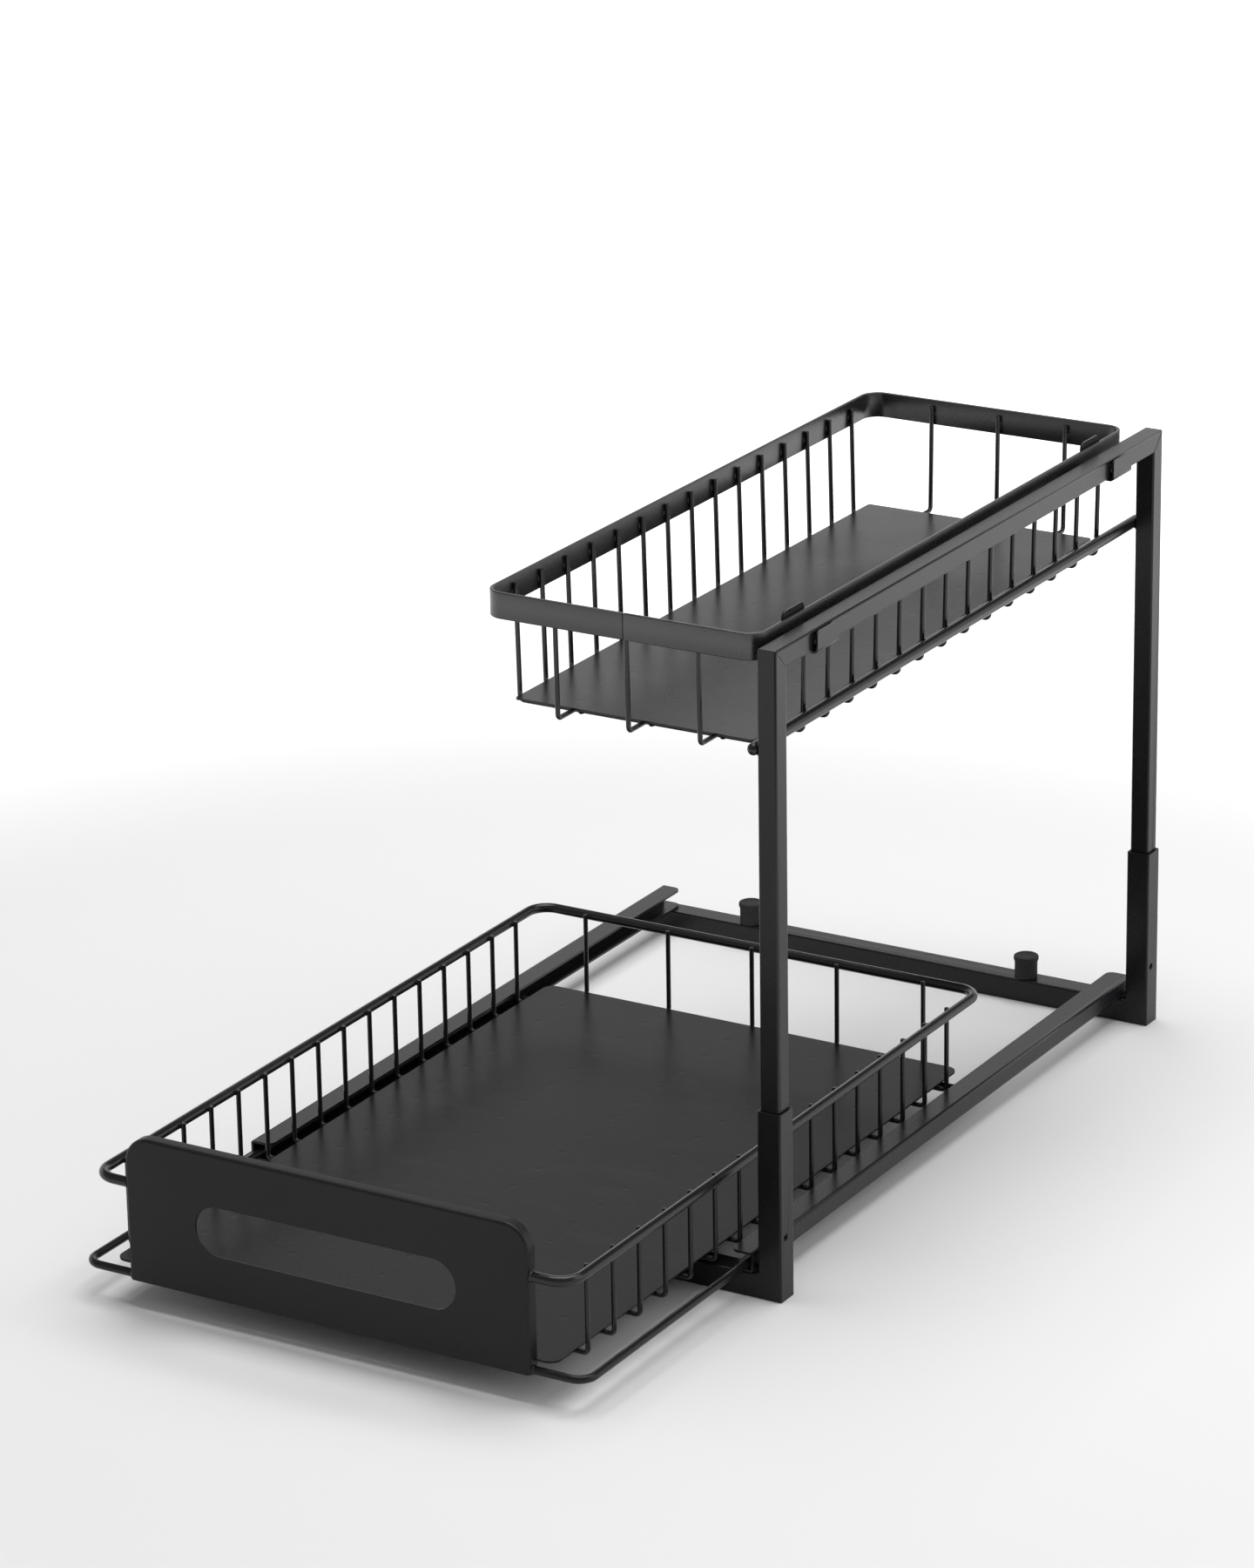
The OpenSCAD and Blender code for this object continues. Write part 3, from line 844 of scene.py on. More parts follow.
class ORGANIZER_OT_frame_tubes(bpy.types.Operator):
    """Finishes the frame's tubes, rails and hooks with rounded edges and powder coat"""

    bl_idname = "organizer.frame_tubes"
    bl_label = "Frame tubes, rails and hooks"

    def execute(self, context):
        width = context.scene.organizer_sheets.edge_round
        rounded = {
            "front_cross_tube": "frame_powder_coat",
            "rear_cross_tube": "frame_powder_coat",
            "front_post": "frame_powder_coat",
            "rear_post": "frame_powder_coat",
            "front_leg": "frame_powder_coat",
            "rear_leg": "frame_powder_coat",
            "top_rail": "frame_powder_coat",
            "front_hook": "frame_powder_coat",
            "rear_hook": "frame_powder_coat",
            "left_rail": "rail_rubbed_coat",
            "right_rail": "rail_rubbed_coat",
        }
        for node, name in rounded.items():
            piece = frame["nodes"][node]
            for slot in piece.material_slots:
                slot.material = material(name)
            weld = piece.modifiers.new("join", "WELD")
            weld.merge_threshold = 1e-6
            bevel = piece.modifiers.new("edges", "BEVEL")
            bevel.width = width
            bevel.segments = 2
            bevel.limit_method = "ANGLE"
            bevel.angle_limit = math.radians(40)
            bevel.harden_normals = True
        return {"FINISHED"}


class ORGANIZER_OT_rim_and_loop(bpy.types.Operator):
    """Makes the drawer's rim wire and its sliding loop"""

    bl_idname = "organizer.rim_and_loop"
    bl_label = "Rim and sliding loop"

    def execute(self, context):
        wires = context.scene.organizer_wires
        bm = bmesh.new()
        looped_wire(bm, "drawer_rim", wires.rim_bend, 24)
        finish(
            "rim_wire",
            bm,
            "drawer",
            material("wire_powder_coat"),
            ("drawer_rim",),
        )
        bm = bmesh.new()
        looped_wire(bm, "slide_loop", wires.loop_bend, 22)
        finish(
            "sliding_loop",
            bm,
            "drawer",
            material("loop_rubbed_coat"),
            ("slide_loop",),
        )
        return {"FINISHED"}


class ORGANIZER_OT_drawer_wires(bpy.types.Operator):
    """Makes the drawer's crosswise, lengthwise and rear wires"""

    bl_idname = "organizer.drawer_wires"
    bl_label = "Drawer wires"

    def execute(self, context):
        wires = context.scene.organizer_wires
        half = wires.thin / 2
        rows, columns = drawer_rows()
        box_low, box_high = low("drawer_cross_wires"), high("drawer_cross_wires")
        bm = bmesh.new()
        for y in rows:
            bent_wire(
                bm,
                [
                    (box_low.x + half, y, box_high.z),
                    (box_low.x + half, y, box_low.z + half),
                    (box_high.x - half, y, box_low.z + half),
                    (box_high.x - half, y, box_high.z),
                ],
                wires.thin,
                wires.thin_bend,
                wires.wire_sides,
            )
        finish(
            "drawer_crosswise_wires",
            bm,
            "drawer",
            material("wire_powder_coat"),
            ("drawer_cross_wires",),
        )
        box_low, box_high = low("drawer_length_wires"), high("drawer_length_wires")
        bm = bmesh.new()
        for x in columns:
            bent_wire(
                bm,
                [
                    (x, box_low.y + half, box_high.z),
                    (x, box_low.y + half, box_low.z + half),
                    (x, box_high.y, box_low.z + half),
                ],
                wires.thin,
                wires.thin_bend,
                wires.wire_sides,
            )
        finish(
            "drawer_lengthwise_wires",
            bm,
            "drawer",
            material("wire_powder_coat"),
            ("drawer_length_wires",),
        )
        box_low, box_high = low("drawer_rear_wires"), high("drawer_rear_wires")
        bm = bmesh.new()
        for x in columns:
            bent_wire(
                bm,
                [
                    (x, box_low.y, box_low.z + half),
                    (x, box_high.y - half, box_low.z + half),
                    (x, box_high.y - half, box_high.z),
                ],
                wires.thin,
                wires.thin_bend,
                wires.wire_sides,
            )
        finish(
            "drawer_rear_upright_wires",
            bm,
            "drawer",
            material("wire_powder_coat"),
            ("drawer_rear_wires",),
        )
        return {"FINISHED"}


class ORGANIZER_OT_drawer_panel(bpy.types.Operator):
    """Makes the folded sheet of the drawer front, with its finger slot"""

    bl_idname = "organizer.drawer_panel"
    bl_label = "Drawer front"

    def slot_ring(self, bm, front, grow):
        """The finger slot's outline, grown all round, as a ring of edges."""
        sheets = bpy.context.scene.organizer_sheets
        before = set(bm.edges)
        centre_x = middle("drawer_front").x
        half = sheets.slot_length / 2 + grow
        bottom = low("drawer_front").z + sheets.slot_rise - grow
        top = bottom + sheets.slot_height + 2 * grow
        face = outline(
            bm,
            [
                (centre_x - half, front, bottom),
                (centre_x + half, front, bottom),
                (centre_x + half, front, top),
                (centre_x - half, front, top),
            ],
        )
        cut_corners(bm, list(face.verts), (top - bottom) / 2 * 0.9999, 14)
        ring = [edge for edge in bm.edges if edge not in before]
        bmesh.ops.delete(
            bm, geom=[face for face in bm.faces if set(face.edges) <= set(ring)],
            context="FACES_ONLY",
        )
        return ring

    def execute(self, context):
        sheets = context.scene.organizer_sheets
        box_low, box_high = low("drawer_front"), high("drawer_front")
        front = box_low.y
        bm = bmesh.new()
        face = outline(
            bm,
            [
                (box_low.x, front, box_low.z),
                (box_high.x, front, box_low.z),
                (box_high.x, front, box_high.z),
                (box_low.x, front, box_high.z),
            ],
        )
        top_corners = [vert for vert in face.verts if vert.co.z > middle("drawer_front").z]
        cut_corners(bm, top_corners, sheets.panel_corner, 12)
        field = list(bm.faces)
        bmesh.ops.inset_region(bm, faces=field, thickness=3.2 * MM, use_even_offset=True)
        inner = [edge for edge in field[0].edges]
        bmesh.ops.delete(bm, geom=field, context="FACES_ONLY")
        slot_edges = self.slot_ring(bm, front, 0)
        collar = self.slot_ring(bm, front, 2.0 * MM)
        bmesh.ops.bridge_loops(bm, edges=slot_edges + collar)
        bmesh.ops.triangle_fill(
            bm, edges=inner + collar, use_beauty=True, normal=Vector((0, -1, 0))
        )
        bmesh.ops.recalc_face_normals(bm, faces=bm.faces)
        bm.normal_update()
        if sum(face.normal.y * face.calc_area() for face in bm.faces) > 0:
            bmesh.ops.reverse_faces(bm, faces=bm.faces)
        folded = [
            edge
            for edge in bm.edges
            if edge.is_boundary
            and edge not in slot_edges
            and not all(abs(vert.co.z - box_low.z) < 1e-6 for vert in edge.verts)
        ]
        draw_on(bm, folded, Vector((0, box_high.y - box_low.y, 0)))
        bmesh.ops.recalc_face_normals(bm, faces=bm.faces)
        bm.normal_update()
        if sum(face.normal.y * face.calc_area() for face in bm.faces) > 0:
            bmesh.ops.reverse_faces(bm, faces=bm.faces)
        bmesh.ops.bevel(
            bm,
            geom=folded,
            offset=sheets.panel_fold,
            offset_type="OFFSET",
            segments=6,
            profile=0.5,
            affect="EDGES",
            material=-1,
        )
        bmesh.ops.solidify(bm, geom=list(bm.faces), thickness=sheets.panel_sheet)
        piece = finish(
            "drawer_panel",
            bm,
            "drawer",
            material("panel_powder_coat"),
            ("drawer_front",),
        )
        bevel = piece.modifiers.new("edges", "BEVEL")
        bevel.width = sheets.edge_round
        bevel.segments = 2
        bevel.limit_method = "ANGLE"
        bevel.angle_limit = math.radians(50)
        bevel.harden_normals = True
        return {"FINISHED"}


class ORGANIZER_OT_trays(bpy.types.Operator):
    """Finishes the sheet trays of the drawer and the basket"""

    bl_idname = "organizer.trays"
    bl_label = "Sheet trays"

    def execute(self, context):
        for node in ("drawer_tray", "basket_tray"):
            piece = frame["nodes"][node]
            for slot in piece.material_slots:
                slot.material = material(node + "_coat")
            weld = piece.modifiers.new("join", "WELD")
            weld.merge_threshold = 1e-6
            bevel = piece.modifiers.new("edges", "BEVEL")
            bevel.width = context.scene.organizer_sheets.edge_round
            bevel.segments = 2
            bevel.limit_method = "ANGLE"
            bevel.angle_limit = math.radians(40)
            bevel.harden_normals = True
        return {"FINISHED"}


class ORGANIZER_OT_basket_band(bpy.types.Operator):
    """Makes the basket's flat band with its welded butt seam"""

    bl_idname = "organizer.basket_band"
    bl_label = "Basket band"

    def execute(self, context):
        sheets = context.scene.organizer_sheets
        box_low, box_high = low("basket_band"), high("basket_band")
        height = box_high.z - box_low.z
        seam_x = middle("basket_length_wires").x
        gap = 0.22 * MM
        bm = bmesh.new()
        face = outline(
            bm,
            [
                (box_low.x, box_low.y, box_low.z),
                (seam_x - gap, box_low.y, box_low.z),
                (seam_x + gap, box_low.y, box_low.z),
                (box_high.x, box_low.y, box_low.z),
                (box_high.x, box_high.y, box_low.z),
                (box_low.x, box_high.y, box_low.z),
            ],
        )
        corners = [
            vert
            for vert in face.verts
            if min(abs(vert.co.x - box_low.x), abs(vert.co.x - box_high.x)) < 1e-6
        ]
        cut_corners(bm, corners, sheets.band_corner, 12)
        bmesh.ops.delete(bm, geom=list(bm.faces), context="FACES_ONLY")
        seam = [
            edge
            for edge in bm.edges
            if all(abs(vert.co.x - seam_x) < 2 * gap for vert in edge.verts)
        ]
        bmesh.ops.delete(bm, geom=seam, context="EDGES")
        draw_on(bm, list(bm.edges), Vector((0, 0, height)))
        bmesh.ops.recalc_face_normals(bm, faces=bm.faces)
        bm.normal_update()
        centre = middle("basket_band")
        outward = sum(
            face.normal.dot(face.calc_center_median() - centre) * face.calc_area()
            for face in bm.faces
        )
        if outward < 0:
            bmesh.ops.reverse_faces(bm, faces=bm.faces)
        bmesh.ops.solidify(bm, geom=list(bm.faces), thickness=sheets.band_sheet)
        bmesh.ops.recalc_face_normals(bm, faces=bm.faces)
        soften(bm, 50, 0.45 * MM, 3)
        filler = bmesh.ops.create_cube(
            bm,
            size=1.0,
            matrix=Matrix.Translation(
                (seam_x, box_low.y + sheets.band_sheet * 0.6, box_low.z + height / 2)
            )
            @ Matrix.Diagonal((1.1 * MM, sheets.band_sheet * 0.62, height - 0.9 * MM, 1)),
        )
        bmesh.ops.bevel(
            bm,
            geom=rings_between(filler["verts"]),
            offset=0.2 * MM,
            offset_type="OFFSET",
            segments=2,
            profile=0.5,
            affect="EDGES",
            material=-1,
        )
        finish(
            "basket_top_band",
            bm,
            "basket",
            material("band_powder_coat"),
            ("basket_band",),
        )
        return {"FINISHED"}


class ORGANIZER_OT_basket_wires(bpy.types.Operator):
    """Makes the basket's crosswise and lengthwise wires"""

    bl_idname = "organizer.basket_wires"
    bl_label = "Basket wires"

    def execute(self, context):
        wires = context.scene.organizer_wires
        half = wires.thin / 2
        taper = wires.basket_taper
        rows, columns = basket_rows()
        box_low, box_high = low("basket_cross_wires"), high("basket_cross_wires")
        bm = bmesh.new()
        for y in rows:
            bent_wire(
                bm,
                [
                    (box_low.x + half, y, box_high.z),
                    (box_low.x + half + taper, y, box_low.z + half),
                    (box_high.x - half - taper, y, box_low.z + half),
                    (box_high.x - half, y, box_high.z),
                ],
                wires.thin,
                wires.thin_bend,
                wires.wire_sides,
            )
        finish(
            "basket_crosswise_wires",
            bm,
            "basket",
            material("wire_powder_coat"),
            ("basket_cross_wires",),
        )
        box_low, box_high = low("basket_length_wires"), high("basket_length_wires")
        bm = bmesh.new()
        for x in columns:
            bent_wire(
                bm,
                [
                    (x, box_low.y + half, box_high.z),
                    (x, box_low.y + half + taper, box_low.z + half),
                    (x, box_high.y - half - taper, box_low.z + half),
                    (x, box_high.y - half, box_high.z),
                ],
                wires.thin,
                wires.thin_bend,
                wires.wire_sides,
            )
        finish(
            "basket_lengthwise_wires",
            bm,
            "basket",
            material("wire_powder_coat"),
            ("basket_length_wires",),
        )
        return {"FINISHED"}


class ORGANIZER_OT_support_bar(bpy.types.Operator):
    """Makes the round bar between the legs, with its domed ends"""

    bl_idname = "organizer.support_bar"
    bl_label = "Support bar"

    def execute(self, context):
        box_low, box_high = low("support_bar"), high("support_bar")
        centre = middle("support_bar")
        radius = (box_high.z - box_low.z) / 2
        bm = bmesh.new()
        way = Vector((0, 1, 0))
        arc = [math.radians(angle) for angle in (12, 30, 48, 66, 84)]
        at = Vector((centre.x, box_low.y + radius * (1 - math.cos(arc[0])), centre.z))
        ring = start_ring(bm, at, way, radius * math.sin(arc[0]), 28)
        bmesh.ops.edgeloop_fill(bm, edges=ring)
        stations = [(1 - math.cos(angle), math.sin(angle)) for angle in arc] + [(1, 1)]
        for (here, size), (there, wider) in zip(stations, stations[1:]):
            ring = draw_on(bm, ring, way * radius * (there - here), wider / size)
        ring = draw_on(bm, ring, way * (box_high.y - box_low.y - 2 * radius))
        stations.reverse()
        for (here, size), (there, wider) in zip(stations, stations[1:]):
            ring = draw_on(bm, ring, way * radius * (here - there), wider / size)
        bmesh.ops.edgeloop_fill(bm, edges=ring)
        finish(
            "basket_support_bar",
            bm,
            "frame",
            material("wire_powder_coat"),
            ("support_bar",),
        )
        return {"FINISHED"}


class ORGANIZER_OT_rubber_stops(bpy.types.Operator):
    """Turns the push-in rubber stops on both cross tubes"""

    bl_idname = "organizer.rubber_stops"
    bl_label = "Rubber stops"

    def execute(self, context):
        for name, node, tube in (
            ("rear_rubber_stops", "rear_stops", "rear_cross_tube"),
            ("front_rubber_stops", "front_stops", "front_cross_tube"),
        ):
            box_low, box_high = low(node), high(node)
            radius = (box_high.y - box_low.y) / 2
            base = high(tube).z
            height = box_high.z - base
            edge = min(0.75 * MM, 0.1 * height)
            bm = bmesh.new()
            for x in (box_low.x + radius, box_high.x - radius):
                turned(
                    bm,
                    [
                        (2.0 * MM, box_low.z - base),
                        (2.6 * MM, box_low.z - base + 0.3 * MM),
                        (3.5 * MM, -1.0 * MM),
                        (2.5 * MM, -0.95 * MM),
                        (2.5 * MM, 0.0),
                        (radius - 1.0 * MM, 0.0),
                        (radius - 0.6 * MM, 0.03 * height),
                        (radius - 0.6 * MM, 0.68 * height),
                        (radius - 0.45 * MM, 0.74 * height),
                        (radius, 0.84 * height),
                        (radius, height - edge),
                        (radius - 0.3 * edge, height - 0.33 * edge),
                        (radius - edge, height),
                        (radius - 1.9 * MM, height),
                        (radius - 2.3 * MM, height - 0.4 * edge),
                        (0.8 * MM, height - 0.6 * edge),
                    ],
                    Vector((x, middle(node).y, base)),
                    40,
                )
            finish(
                name,
                bm,
                "frame",
                material("stop_rubber_matt"),
                (node,),
            )
        return {"FINISHED"}


class ORGANIZER_OT_fasteners(bpy.types.Operator):
    """Makes the lock screws and the tube end caps, and finishes the leg plugs"""

    bl_idname = "organizer.fasteners"
    bl_label = "Screws, caps and plugs"

    def execute(self, context):
        box_low, box_high = low("lock_screws"), high("lock_screws")
        radius = (box_high.z - box_low.z) / 2
        way = Vector((1, 0, 0))
        bm = bmesh.new()
        for y in (box_low.y + radius, box_high.y - radius):
            head = Vector((box_high.x, y, box_low.z + radius))
            rim = start_ring(bm, head, way, radius - 0.35 * MM, 30)
            socket = start_ring(bm, head, way, 0.95 * MM, 6)
            bmesh.ops.bridge_loops(bm, edges=rim + socket)
            socket = draw_on(bm, socket, -way * 2 * MM)
            bmesh.ops.edgeloop_fill(bm, edges=socket)
            side = draw_on(bm, rim, -way * 0.3 * MM, radius / (radius - 0.35 * MM))
            side = draw_on(bm, side, -way * (box_high.x - box_low.x - 0.9 * MM))
            side = draw_on(bm, side, -way * 0.6 * MM, 0.7)
            bmesh.ops.edgeloop_fill(bm, edges=side)
        finish(
            "hex_lock_screws",
            bm,
            "frame",
            material("screw_steel_black"),
            ("lock_screws",),
        )
        box_low, box_high = low("tube_end_caps"), high("tube_end_caps")
        side = box_high.z - box_low.z
        sheet = low("front_cross_tube").x - box_low.x
        bm = bmesh.new()
        for y in (box_low.y + side / 2, box_high.y - side / 2):
            centre = Vector((box_low.x + sheet / 2, y, box_low.z + side / 2))
            made = bmesh.ops.create_cube(
                bm,
                size=1.0,
                matrix=Matrix.Translation(centre) @ Matrix.Diagonal((sheet, side, side, 1)),
            )
            bmesh.ops.bevel(
                bm,
                geom=rings_between(made["verts"]),
                offset=0.7 * MM,
                offset_type="OFFSET",
                segments=4,
                profile=0.5,
                affect="EDGES",
                material=-1,
            )
            bm.normal_update()
            outer = [
                face
                for face in bm.faces
                if face.normal.x < -0.99 and abs(face.calc_center_median().y - y) < 1 * MM
            ]
            bmesh.ops.inset_region(
                bm, faces=outer, thickness=1.4 * MM, depth=0.0, use_even_offset=True
            )
            bmesh.ops.inset_region(
                bm, faces=outer, thickness=0.35 * MM, depth=-0.35 * MM, use_even_offset=True
            )
            spigot = side - 2.3 * MM
            length = box_high.x - box_low.x - sheet
            bmesh.ops.create_cube(
                bm,
                size=1.0,
                matrix=Matrix.Translation(centre + way * (sheet + length) / 2)
                @ Matrix.Diagonal((length, spigot, spigot, 1)),
            )
        finish(
            "cross_tube_caps",
            bm,
            "frame",
            material("cap_plastic"),
            ("tube_end_caps",),
        )
        for slot in frame["nodes"]["leg_plugs"].material_slots:
            slot.material = material("cap_plastic")
        return {"FINISHED"}


class ORGANIZER_OT_frame_welds(bpy.types.Operator):
    """Lays the weld beads of the base and the side frame"""

    bl_idname = "organizer.frame_welds"
    bl_label = "Frame welds"

    def execute(self, context):
        bm = bmesh.new()
        inch = 0.35 * MM
        for tube, post, faces in (
            ("front_cross_tube", "front_post", ("low", "high")),
            ("rear_cross_tube", "rear_post", ("low",)),
        ):
            post_low, post_high = low(post), high(post)
            top = high(tube).z
            for face in faces:
                y = post_low.y + 0.22 * MM if face == "low" else post_high.y - 0.22 * MM
                bead(
                    bm,
                    (post_low.x + inch, y, top - inch),
                    (post_high.x - 2 * inch, y, post_low.z + 2 * inch),
                    0.42 * MM,
                )
            bead(
                bm,
                (post_low.x - 0.1 * MM, post_low.y + 1.2 * MM, top + 0.1 * MM),
                (post_low.x - 0.1 * MM, post_high.y - 1.2 * MM, top + 0.1 * MM),
                1.0 * MM,
            )
        rail_low, rail_high = low("top_rail"), high("top_rail")
        side = rail_high.z - rail_low.z
        for outer, inner in (
            (rail_low.y, rail_low.y + side),
            (rail_high.y, rail_high.y - side),
        ):
            step = inch if inner > outer else -inch
            for x in (rail_low.x + 0.22 * MM, rail_high.x - 0.22 * MM):
                bead(
                    bm,
                    (x, inner - step, rail_low.z + inch),
                    (x, outer + 2 * step, rail_high.z - 2 * inch),
                    0.42 * MM,
                )
            bead(
                bm,
                (rail_low.x + 1.0 * MM, inner, rail_low.z),
                (rail_high.x - 1.0 * MM, inner, rail_low.z),
                0.95 * MM,
            )
        for tube in ("front_cross_tube", "rear_cross_tube"):
            front, rear = low(tube).y + 1.3 * MM, high(tube).y - 1.3 * MM
            top = high(tube).z
            rear = min(rear, high("left_rail").y - 0.6 * MM)
            for x in (low("left_rail").x + 0.25 * MM, high("right_rail").x - 0.25 * MM):
                bead(bm, (x, front, top + 0.3 * MM), (x, rear, top + 0.3 * MM), 0.95 * MM)
        bar = middle("support_bar")
        radius = (high("support_bar").z - low("support_bar").z) / 2
        for leg in ("front_leg", "rear_leg"):
            face = low(leg).x
            front, rear = low(leg).y + 1.4 * MM, high(leg).y - 1.4 * MM
            for side in (-1, 1):
                height = bar.z + side * radius * 0.72
                bead(
                    bm,
                    (face - 0.4 * MM, front, height),
                    (face - 0.4 * MM, rear, height),
                    1.0 * MM,
                )
        for hook in ("front_hook", "rear_hook"):
            front, rear = low(hook).y + 3 * MM, high(hook).y - 3 * MM
            x = low("top_rail").x + 0.2 * MM
            bead(bm, (x, front, low("top_rail").z), (x, rear, low("top_rail").z), 0.75 * MM)
            gap = (high(hook).x - high("top_rail").x) * 0.58
            for y in (low(hook).y + 1.9 * MM, high(hook).y - 1.9 * MM):
                nugget(
                    bm,
                    (high("top_rail").x + gap / 2, y, middle("top_rail").z),
                    (gap * 0.7, 2.1 * MM, 2.2 * MM),
                )
        finish("frame_weld_beads", bm, "frame", material("frame_powder_coat"))
        return {"FINISHED"}


class ORGANIZER_OT_drawer_welds(bpy.types.Operator):
    """Sets the weld nuggets of the drawer's wires and loops"""

    bl_idname = "organizer.drawer_welds"
    bl_label = "Drawer welds"

    def execute(self, context):
        rows, columns = drawer_rows()
        bm = bmesh.new()
        cross_low, cross_high = low("drawer_cross_wires"), high("drawer_cross_wires")
        rim = middle("drawer_rim")
        length_low, length_high = low("drawer_length_wires"), high("drawer_length_wires")
        rear_high = high("drawer_rear_wires")
        loop_top = high("slide_loop")
        loop_y = loop_top.y - 2 * MM
        for y in rows:
            for x in (cross_low.x, cross_high.x):
                nugget(bm, (x, y, rim.z), (0.7 * MM, 1.75 * MM, 1.7 * MM))
            for x in columns:
                nugget(bm, (x, y, cross_low.z), (1.45 * MM, 1.45 * MM, 0.55 * MM))
        for x in columns:
            nugget(bm, (x, rear_high.y, rim.z), (1.75 * MM, 0.7 * MM, 1.7 * MM))
            nugget(bm, (x, loop_y, loop_top.z), (1.6 * MM, 1.5 * MM, 0.5 * MM))
            nugget(bm, (x, length_high.y, length_low.z + 1.2 * MM), (1.7 * MM, 0.8 * MM, 1.3 * MM))
            nugget(
                bm,
                (x, length_low.y + 0.1 * MM, length_low.z + 11 * MM),
                (1.9 * MM, 0.45 * MM, 2.6 * MM),
            )
        panel = (low("drawer_front").x, high("drawer_front").x)
        for node, swell in (("drawer_rim", 1.26), ("slide_loop", 1.24)):
            radius = (high(node).z - low(node).z) / 2
            for side, face in zip((-1, 1), panel):
                nugget(
                    bm,
                    (face + side * 0.15 * MM, low(node).y + radius, middle(node).z),
                    (1.25 * MM, radius * swell, radius * swell),
                )
        finish("drawer_weld_nuggets", bm, "drawer", material("wire_powder_coat"))
        return {"FINISHED"}


class ORGANIZER_OT_basket_welds(bpy.types.Operator):
    """Sets the weld nuggets of the basket's wires"""

    bl_idname = "organizer.basket_welds"
    bl_label = "Basket welds"

    def execute(self, context):
        rows, columns = basket_rows()
        band = middle("basket_band")
        cross_low, cross_high = low("basket_cross_wires"), high("basket_cross_wires")
        length_low, length_high = low("basket_length_wires"), high("basket_length_wires")
        bm = bmesh.new()
        for y in rows:
            for x in (cross_low.x, cross_high.x):
                nugget(bm, (x, y, band.z - 1.5 * MM), (0.6 * MM, 1.8 * MM, 3.2 * MM))
            for x in columns:
                nugget(bm, (x, y, cross_low.z), (1.45 * MM, 1.45 * MM, 0.55 * MM))
        for x in columns:
            for y in (length_low.y, length_high.y):
                nugget(bm, (x, y, band.z - 1.5 * MM), (1.8 * MM, 0.6 * MM, 3.2 * MM))
        finish("basket_weld_nuggets", bm, "basket", material("wire_powder_coat"))
        return {"FINISHED"}


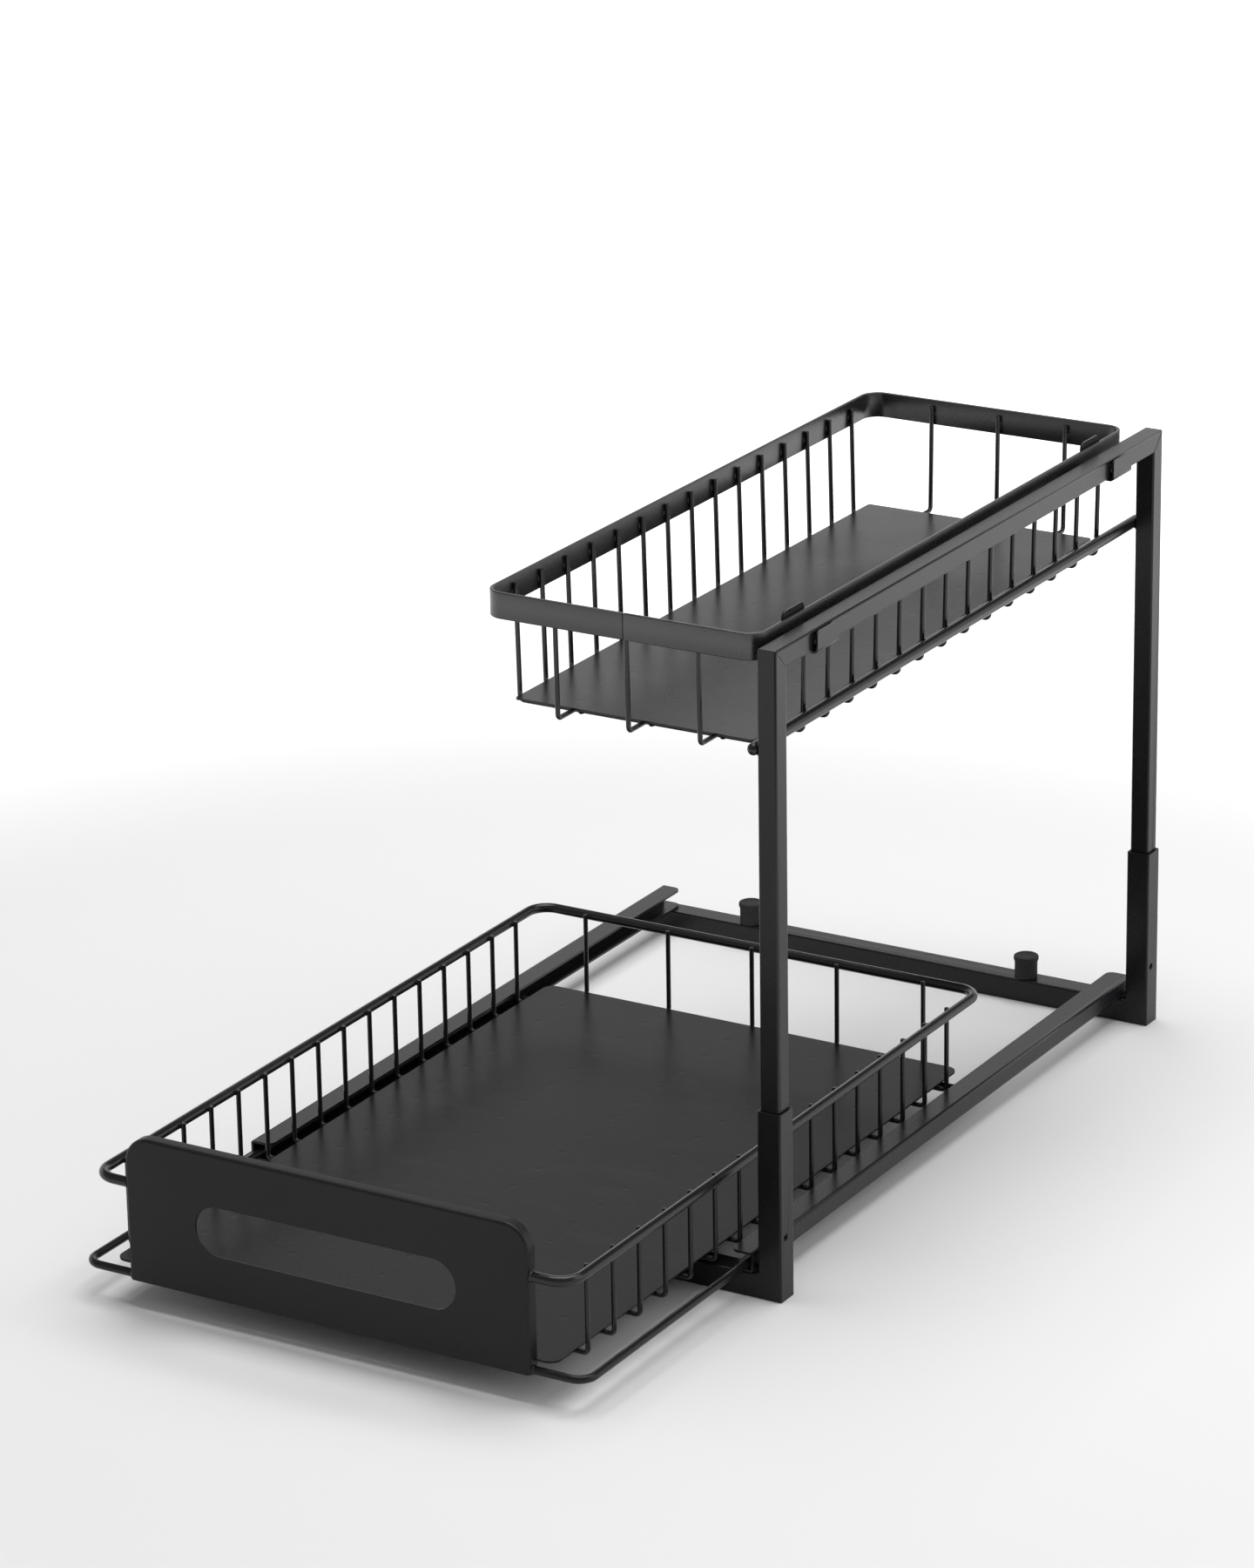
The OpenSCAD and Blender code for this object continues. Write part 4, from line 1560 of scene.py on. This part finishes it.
class ORGANIZER_OT_stage(bpy.types.Operator):
    """Sets the floor, the surroundings, the lamps and the camera"""

    bl_idname = "organizer.stage"
    bl_label = "Stage"

    def execute(self, context):
        scene = context.scene
        studio = scene.organizer_studio
        bm = bmesh.new()
        bmesh.ops.create_circle(bm, cap_ends=True, radius=24.0, segments=96)
        mesh = bpy.data.meshes.new("floor")
        bm.to_mesh(mesh)
        bm.free()
        floor = bpy.data.objects.new("floor", mesh)
        scene.collection.objects.link(floor)
        paint = bpy.data.materials.new("floor_paint")
        paint.use_nodes = True
        shader = paint.node_tree.nodes["Principled BSDF"]
        shader.inputs["Base Color"].default_value = (*scene.organizer_finishes.floor, 1)
        shader.inputs["Roughness"].default_value = 0.9
        shader.inputs["Specular IOR Level"].default_value = 0.1
        shader.inputs["Emission Color"].default_value = (1, 1, 1, 1)
        tree = paint.node_tree
        place = tree.nodes.new("ShaderNodeTexCoord")
        away = tree.nodes.new("ShaderNodeVectorMath")
        away.operation = "LENGTH"
        tree.links.new(place.outputs["Object"], away.inputs[0])
        far = tree.nodes.new("ShaderNodeMapRange")
        far.interpolation_type = "SMOOTHSTEP"
        far.inputs["From Min"].default_value = studio.floor_near
        far.inputs["From Max"].default_value = studio.floor_far
        tree.links.new(away.outputs["Value"], far.inputs["Value"])
        rays = tree.nodes.new("ShaderNodeLightPath")
        seen = rays.outputs["Is Camera Ray"]
        for ray in ("Is Glossy Ray", "Is Transmission Ray"):
            either = tree.nodes.new("ShaderNodeMath")
            either.operation = "MAXIMUM"
            tree.links.new(seen, either.inputs[0])
            tree.links.new(rays.outputs[ray], either.inputs[1])
            seen = either.outputs["Value"]
        white = tree.nodes.new("ShaderNodeMath")
        white.operation = "MULTIPLY"
        tree.links.new(far.outputs["Result"], white.inputs[0])
        tree.links.new(seen, white.inputs[1])
        tree.links.new(white.outputs["Value"], shader.inputs["Emission Strength"])
        mesh.materials.append(paint)

        world = bpy.data.worlds.new("surroundings")
        scene.world = world
        world.use_nodes = True
        nodes = world.node_tree.nodes
        links = world.node_tree.links
        place = nodes.new("ShaderNodeTexCoord")
        parts = nodes.new("ShaderNodeSeparateXYZ")
        links.new(place.outputs["Generated"], parts.inputs["Vector"])
        rise_fade = nodes.new("ShaderNodeMapRange")
        rise_fade.interpolation_type = "SMOOTHSTEP"
        rise_fade.inputs["From Min"].default_value = 0.38
        rise_fade.inputs["From Max"].default_value = 0.49
        rise_fade.inputs["To Min"].default_value = studio.sky
        rise_fade.inputs["To Max"].default_value = studio.high_sky
        links.new(parts.outputs["Z"], rise_fade.inputs["Value"])
        back_fade = nodes.new("ShaderNodeMapRange")
        back_fade.interpolation_type = "SMOOTHSTEP"
        back_fade.inputs["From Min"].default_value = -0.5
        back_fade.inputs["From Max"].default_value = 0.3
        links.new(parts.outputs["Y"], back_fade.inputs["Value"])
        fade = nodes.new("ShaderNodeMix")
        fade.inputs["A"].default_value = studio.front_sky
        links.new(rise_fade.outputs["Result"], fade.inputs["B"])
        links.new(back_fade.outputs["Result"], fade.inputs["Factor"])
        links.new(fade.outputs["Result"], nodes["Background"].inputs["Strength"])
        nodes["Background"].inputs["Color"].default_value = (1, 1, 1, 1)

        for name, place_at, size, power in (
            ("key_light", (1.9, 0.5, 1.5), 1.5, studio.key),
            ("top_light", (0.0, 0.3, 2.2), 1.8, studio.top),
        ):
            lamp = bpy.data.lights.new(name, "AREA")
            lamp.shape = "SQUARE"
            lamp.size = size
            lamp.energy = power
            light = bpy.data.objects.new(name, lamp)
            scene.collection.objects.link(light)
            light.location = place_at
            aim = Vector((0, 0, 0.15)) - Vector(place_at)
            light.rotation_euler = aim.to_track_quat("-Z", "Y").to_euler()

        turn = studio.azimuth
        rise = studio.elevation
        back = Vector(
            (
                math.sin(turn) * math.cos(rise),
                -math.cos(turn) * math.cos(rise),
                math.sin(rise),
            )
        )
        right = (-back).cross(Vector((0, 0, 1))).normalized()
        up = right.cross(-back)
        cosine, sine = math.cos(studio.roll), math.sin(studio.roll)
        right, up = right * cosine + up * sine, up * cosine - right * sine
        lens = bpy.data.cameras.new("camera")
        lens.lens = studio.lens
        lens.sensor_fit = "AUTO"
        lens.sensor_width = 36
        lens.clip_start = 0.05
        lens.clip_end = 100
        camera = bpy.data.objects.new("camera", lens)
        scene.collection.objects.link(camera)
        pose = Matrix((right, up, back)).transposed().to_4x4()
        pose.translation = Vector(studio.aim) + back * studio.distance
        camera.matrix_world = pose
        scene.camera = camera
        scene.view_settings.view_transform = "Standard"
        return {"FINISHED"}


class ORGANIZER_PT_panel(bpy.types.Panel):
    """Lists the organizer's operators and sizes"""

    bl_label = "Under sink organizer"
    bl_idname = "ORGANIZER_PT_panel"
    bl_space_type = "VIEW_3D"
    bl_region_type = "UI"
    bl_category = "Organizer"

    def draw(self, context):
        column = self.layout.column()
        for operator in OPERATORS:
            column.operator(operator.bl_idname)
        for group in (
            context.scene.organizer_wires,
            context.scene.organizer_sheets,
            context.scene.organizer_finishes,
            context.scene.organizer_studio,
        ):
            box = self.layout.box()
            for key in group.bl_rna.properties.keys():
                if key not in ("rna_type", "name"):
                    box.prop(group, key)


OPERATORS = (
    ORGANIZER_OT_stage,
    ORGANIZER_OT_frame_tubes,
    ORGANIZER_OT_rim_and_loop,
    ORGANIZER_OT_drawer_wires,
    ORGANIZER_OT_drawer_panel,
    ORGANIZER_OT_trays,
    ORGANIZER_OT_basket_band,
    ORGANIZER_OT_basket_wires,
    ORGANIZER_OT_support_bar,
    ORGANIZER_OT_rubber_stops,
    ORGANIZER_OT_fasteners,
    ORGANIZER_OT_frame_welds,
    ORGANIZER_OT_drawer_welds,
    ORGANIZER_OT_basket_welds,
)

GROUPS = (
    ("organizer_wires", WireSizes),
    ("organizer_sheets", SheetSizes),
    ("organizer_finishes", Finishes),
    ("organizer_studio", Studio),
)


def register():
    for name, group in GROUPS:
        bpy.utils.register_class(group)
        setattr(bpy.types.Scene, name, PointerProperty(type=group))
    for operator in OPERATORS:
        bpy.utils.register_class(operator)
    bpy.utils.register_class(ORGANIZER_PT_panel)


def unregister():
    bpy.utils.unregister_class(ORGANIZER_PT_panel)
    for operator in reversed(OPERATORS):
        bpy.utils.unregister_class(operator)
    for name, group in reversed(GROUPS):
        delattr(bpy.types.Scene, name)
        bpy.utils.unregister_class(group)


def main():
    register()
    bpy.ops.organizer.stage()
    bpy.ops.organizer.frame_tubes()
    bpy.ops.organizer.rim_and_loop()
    bpy.ops.organizer.drawer_wires()
    bpy.ops.organizer.drawer_panel()
    bpy.ops.organizer.trays()
    bpy.ops.organizer.basket_band()
    bpy.ops.organizer.basket_wires()
    bpy.ops.organizer.support_bar()
    bpy.ops.organizer.rubber_stops()
    bpy.ops.organizer.fasteners()
    bpy.ops.organizer.frame_welds()
    bpy.ops.organizer.drawer_welds()
    bpy.ops.organizer.basket_welds()


if __name__ == "__main__":
    main()
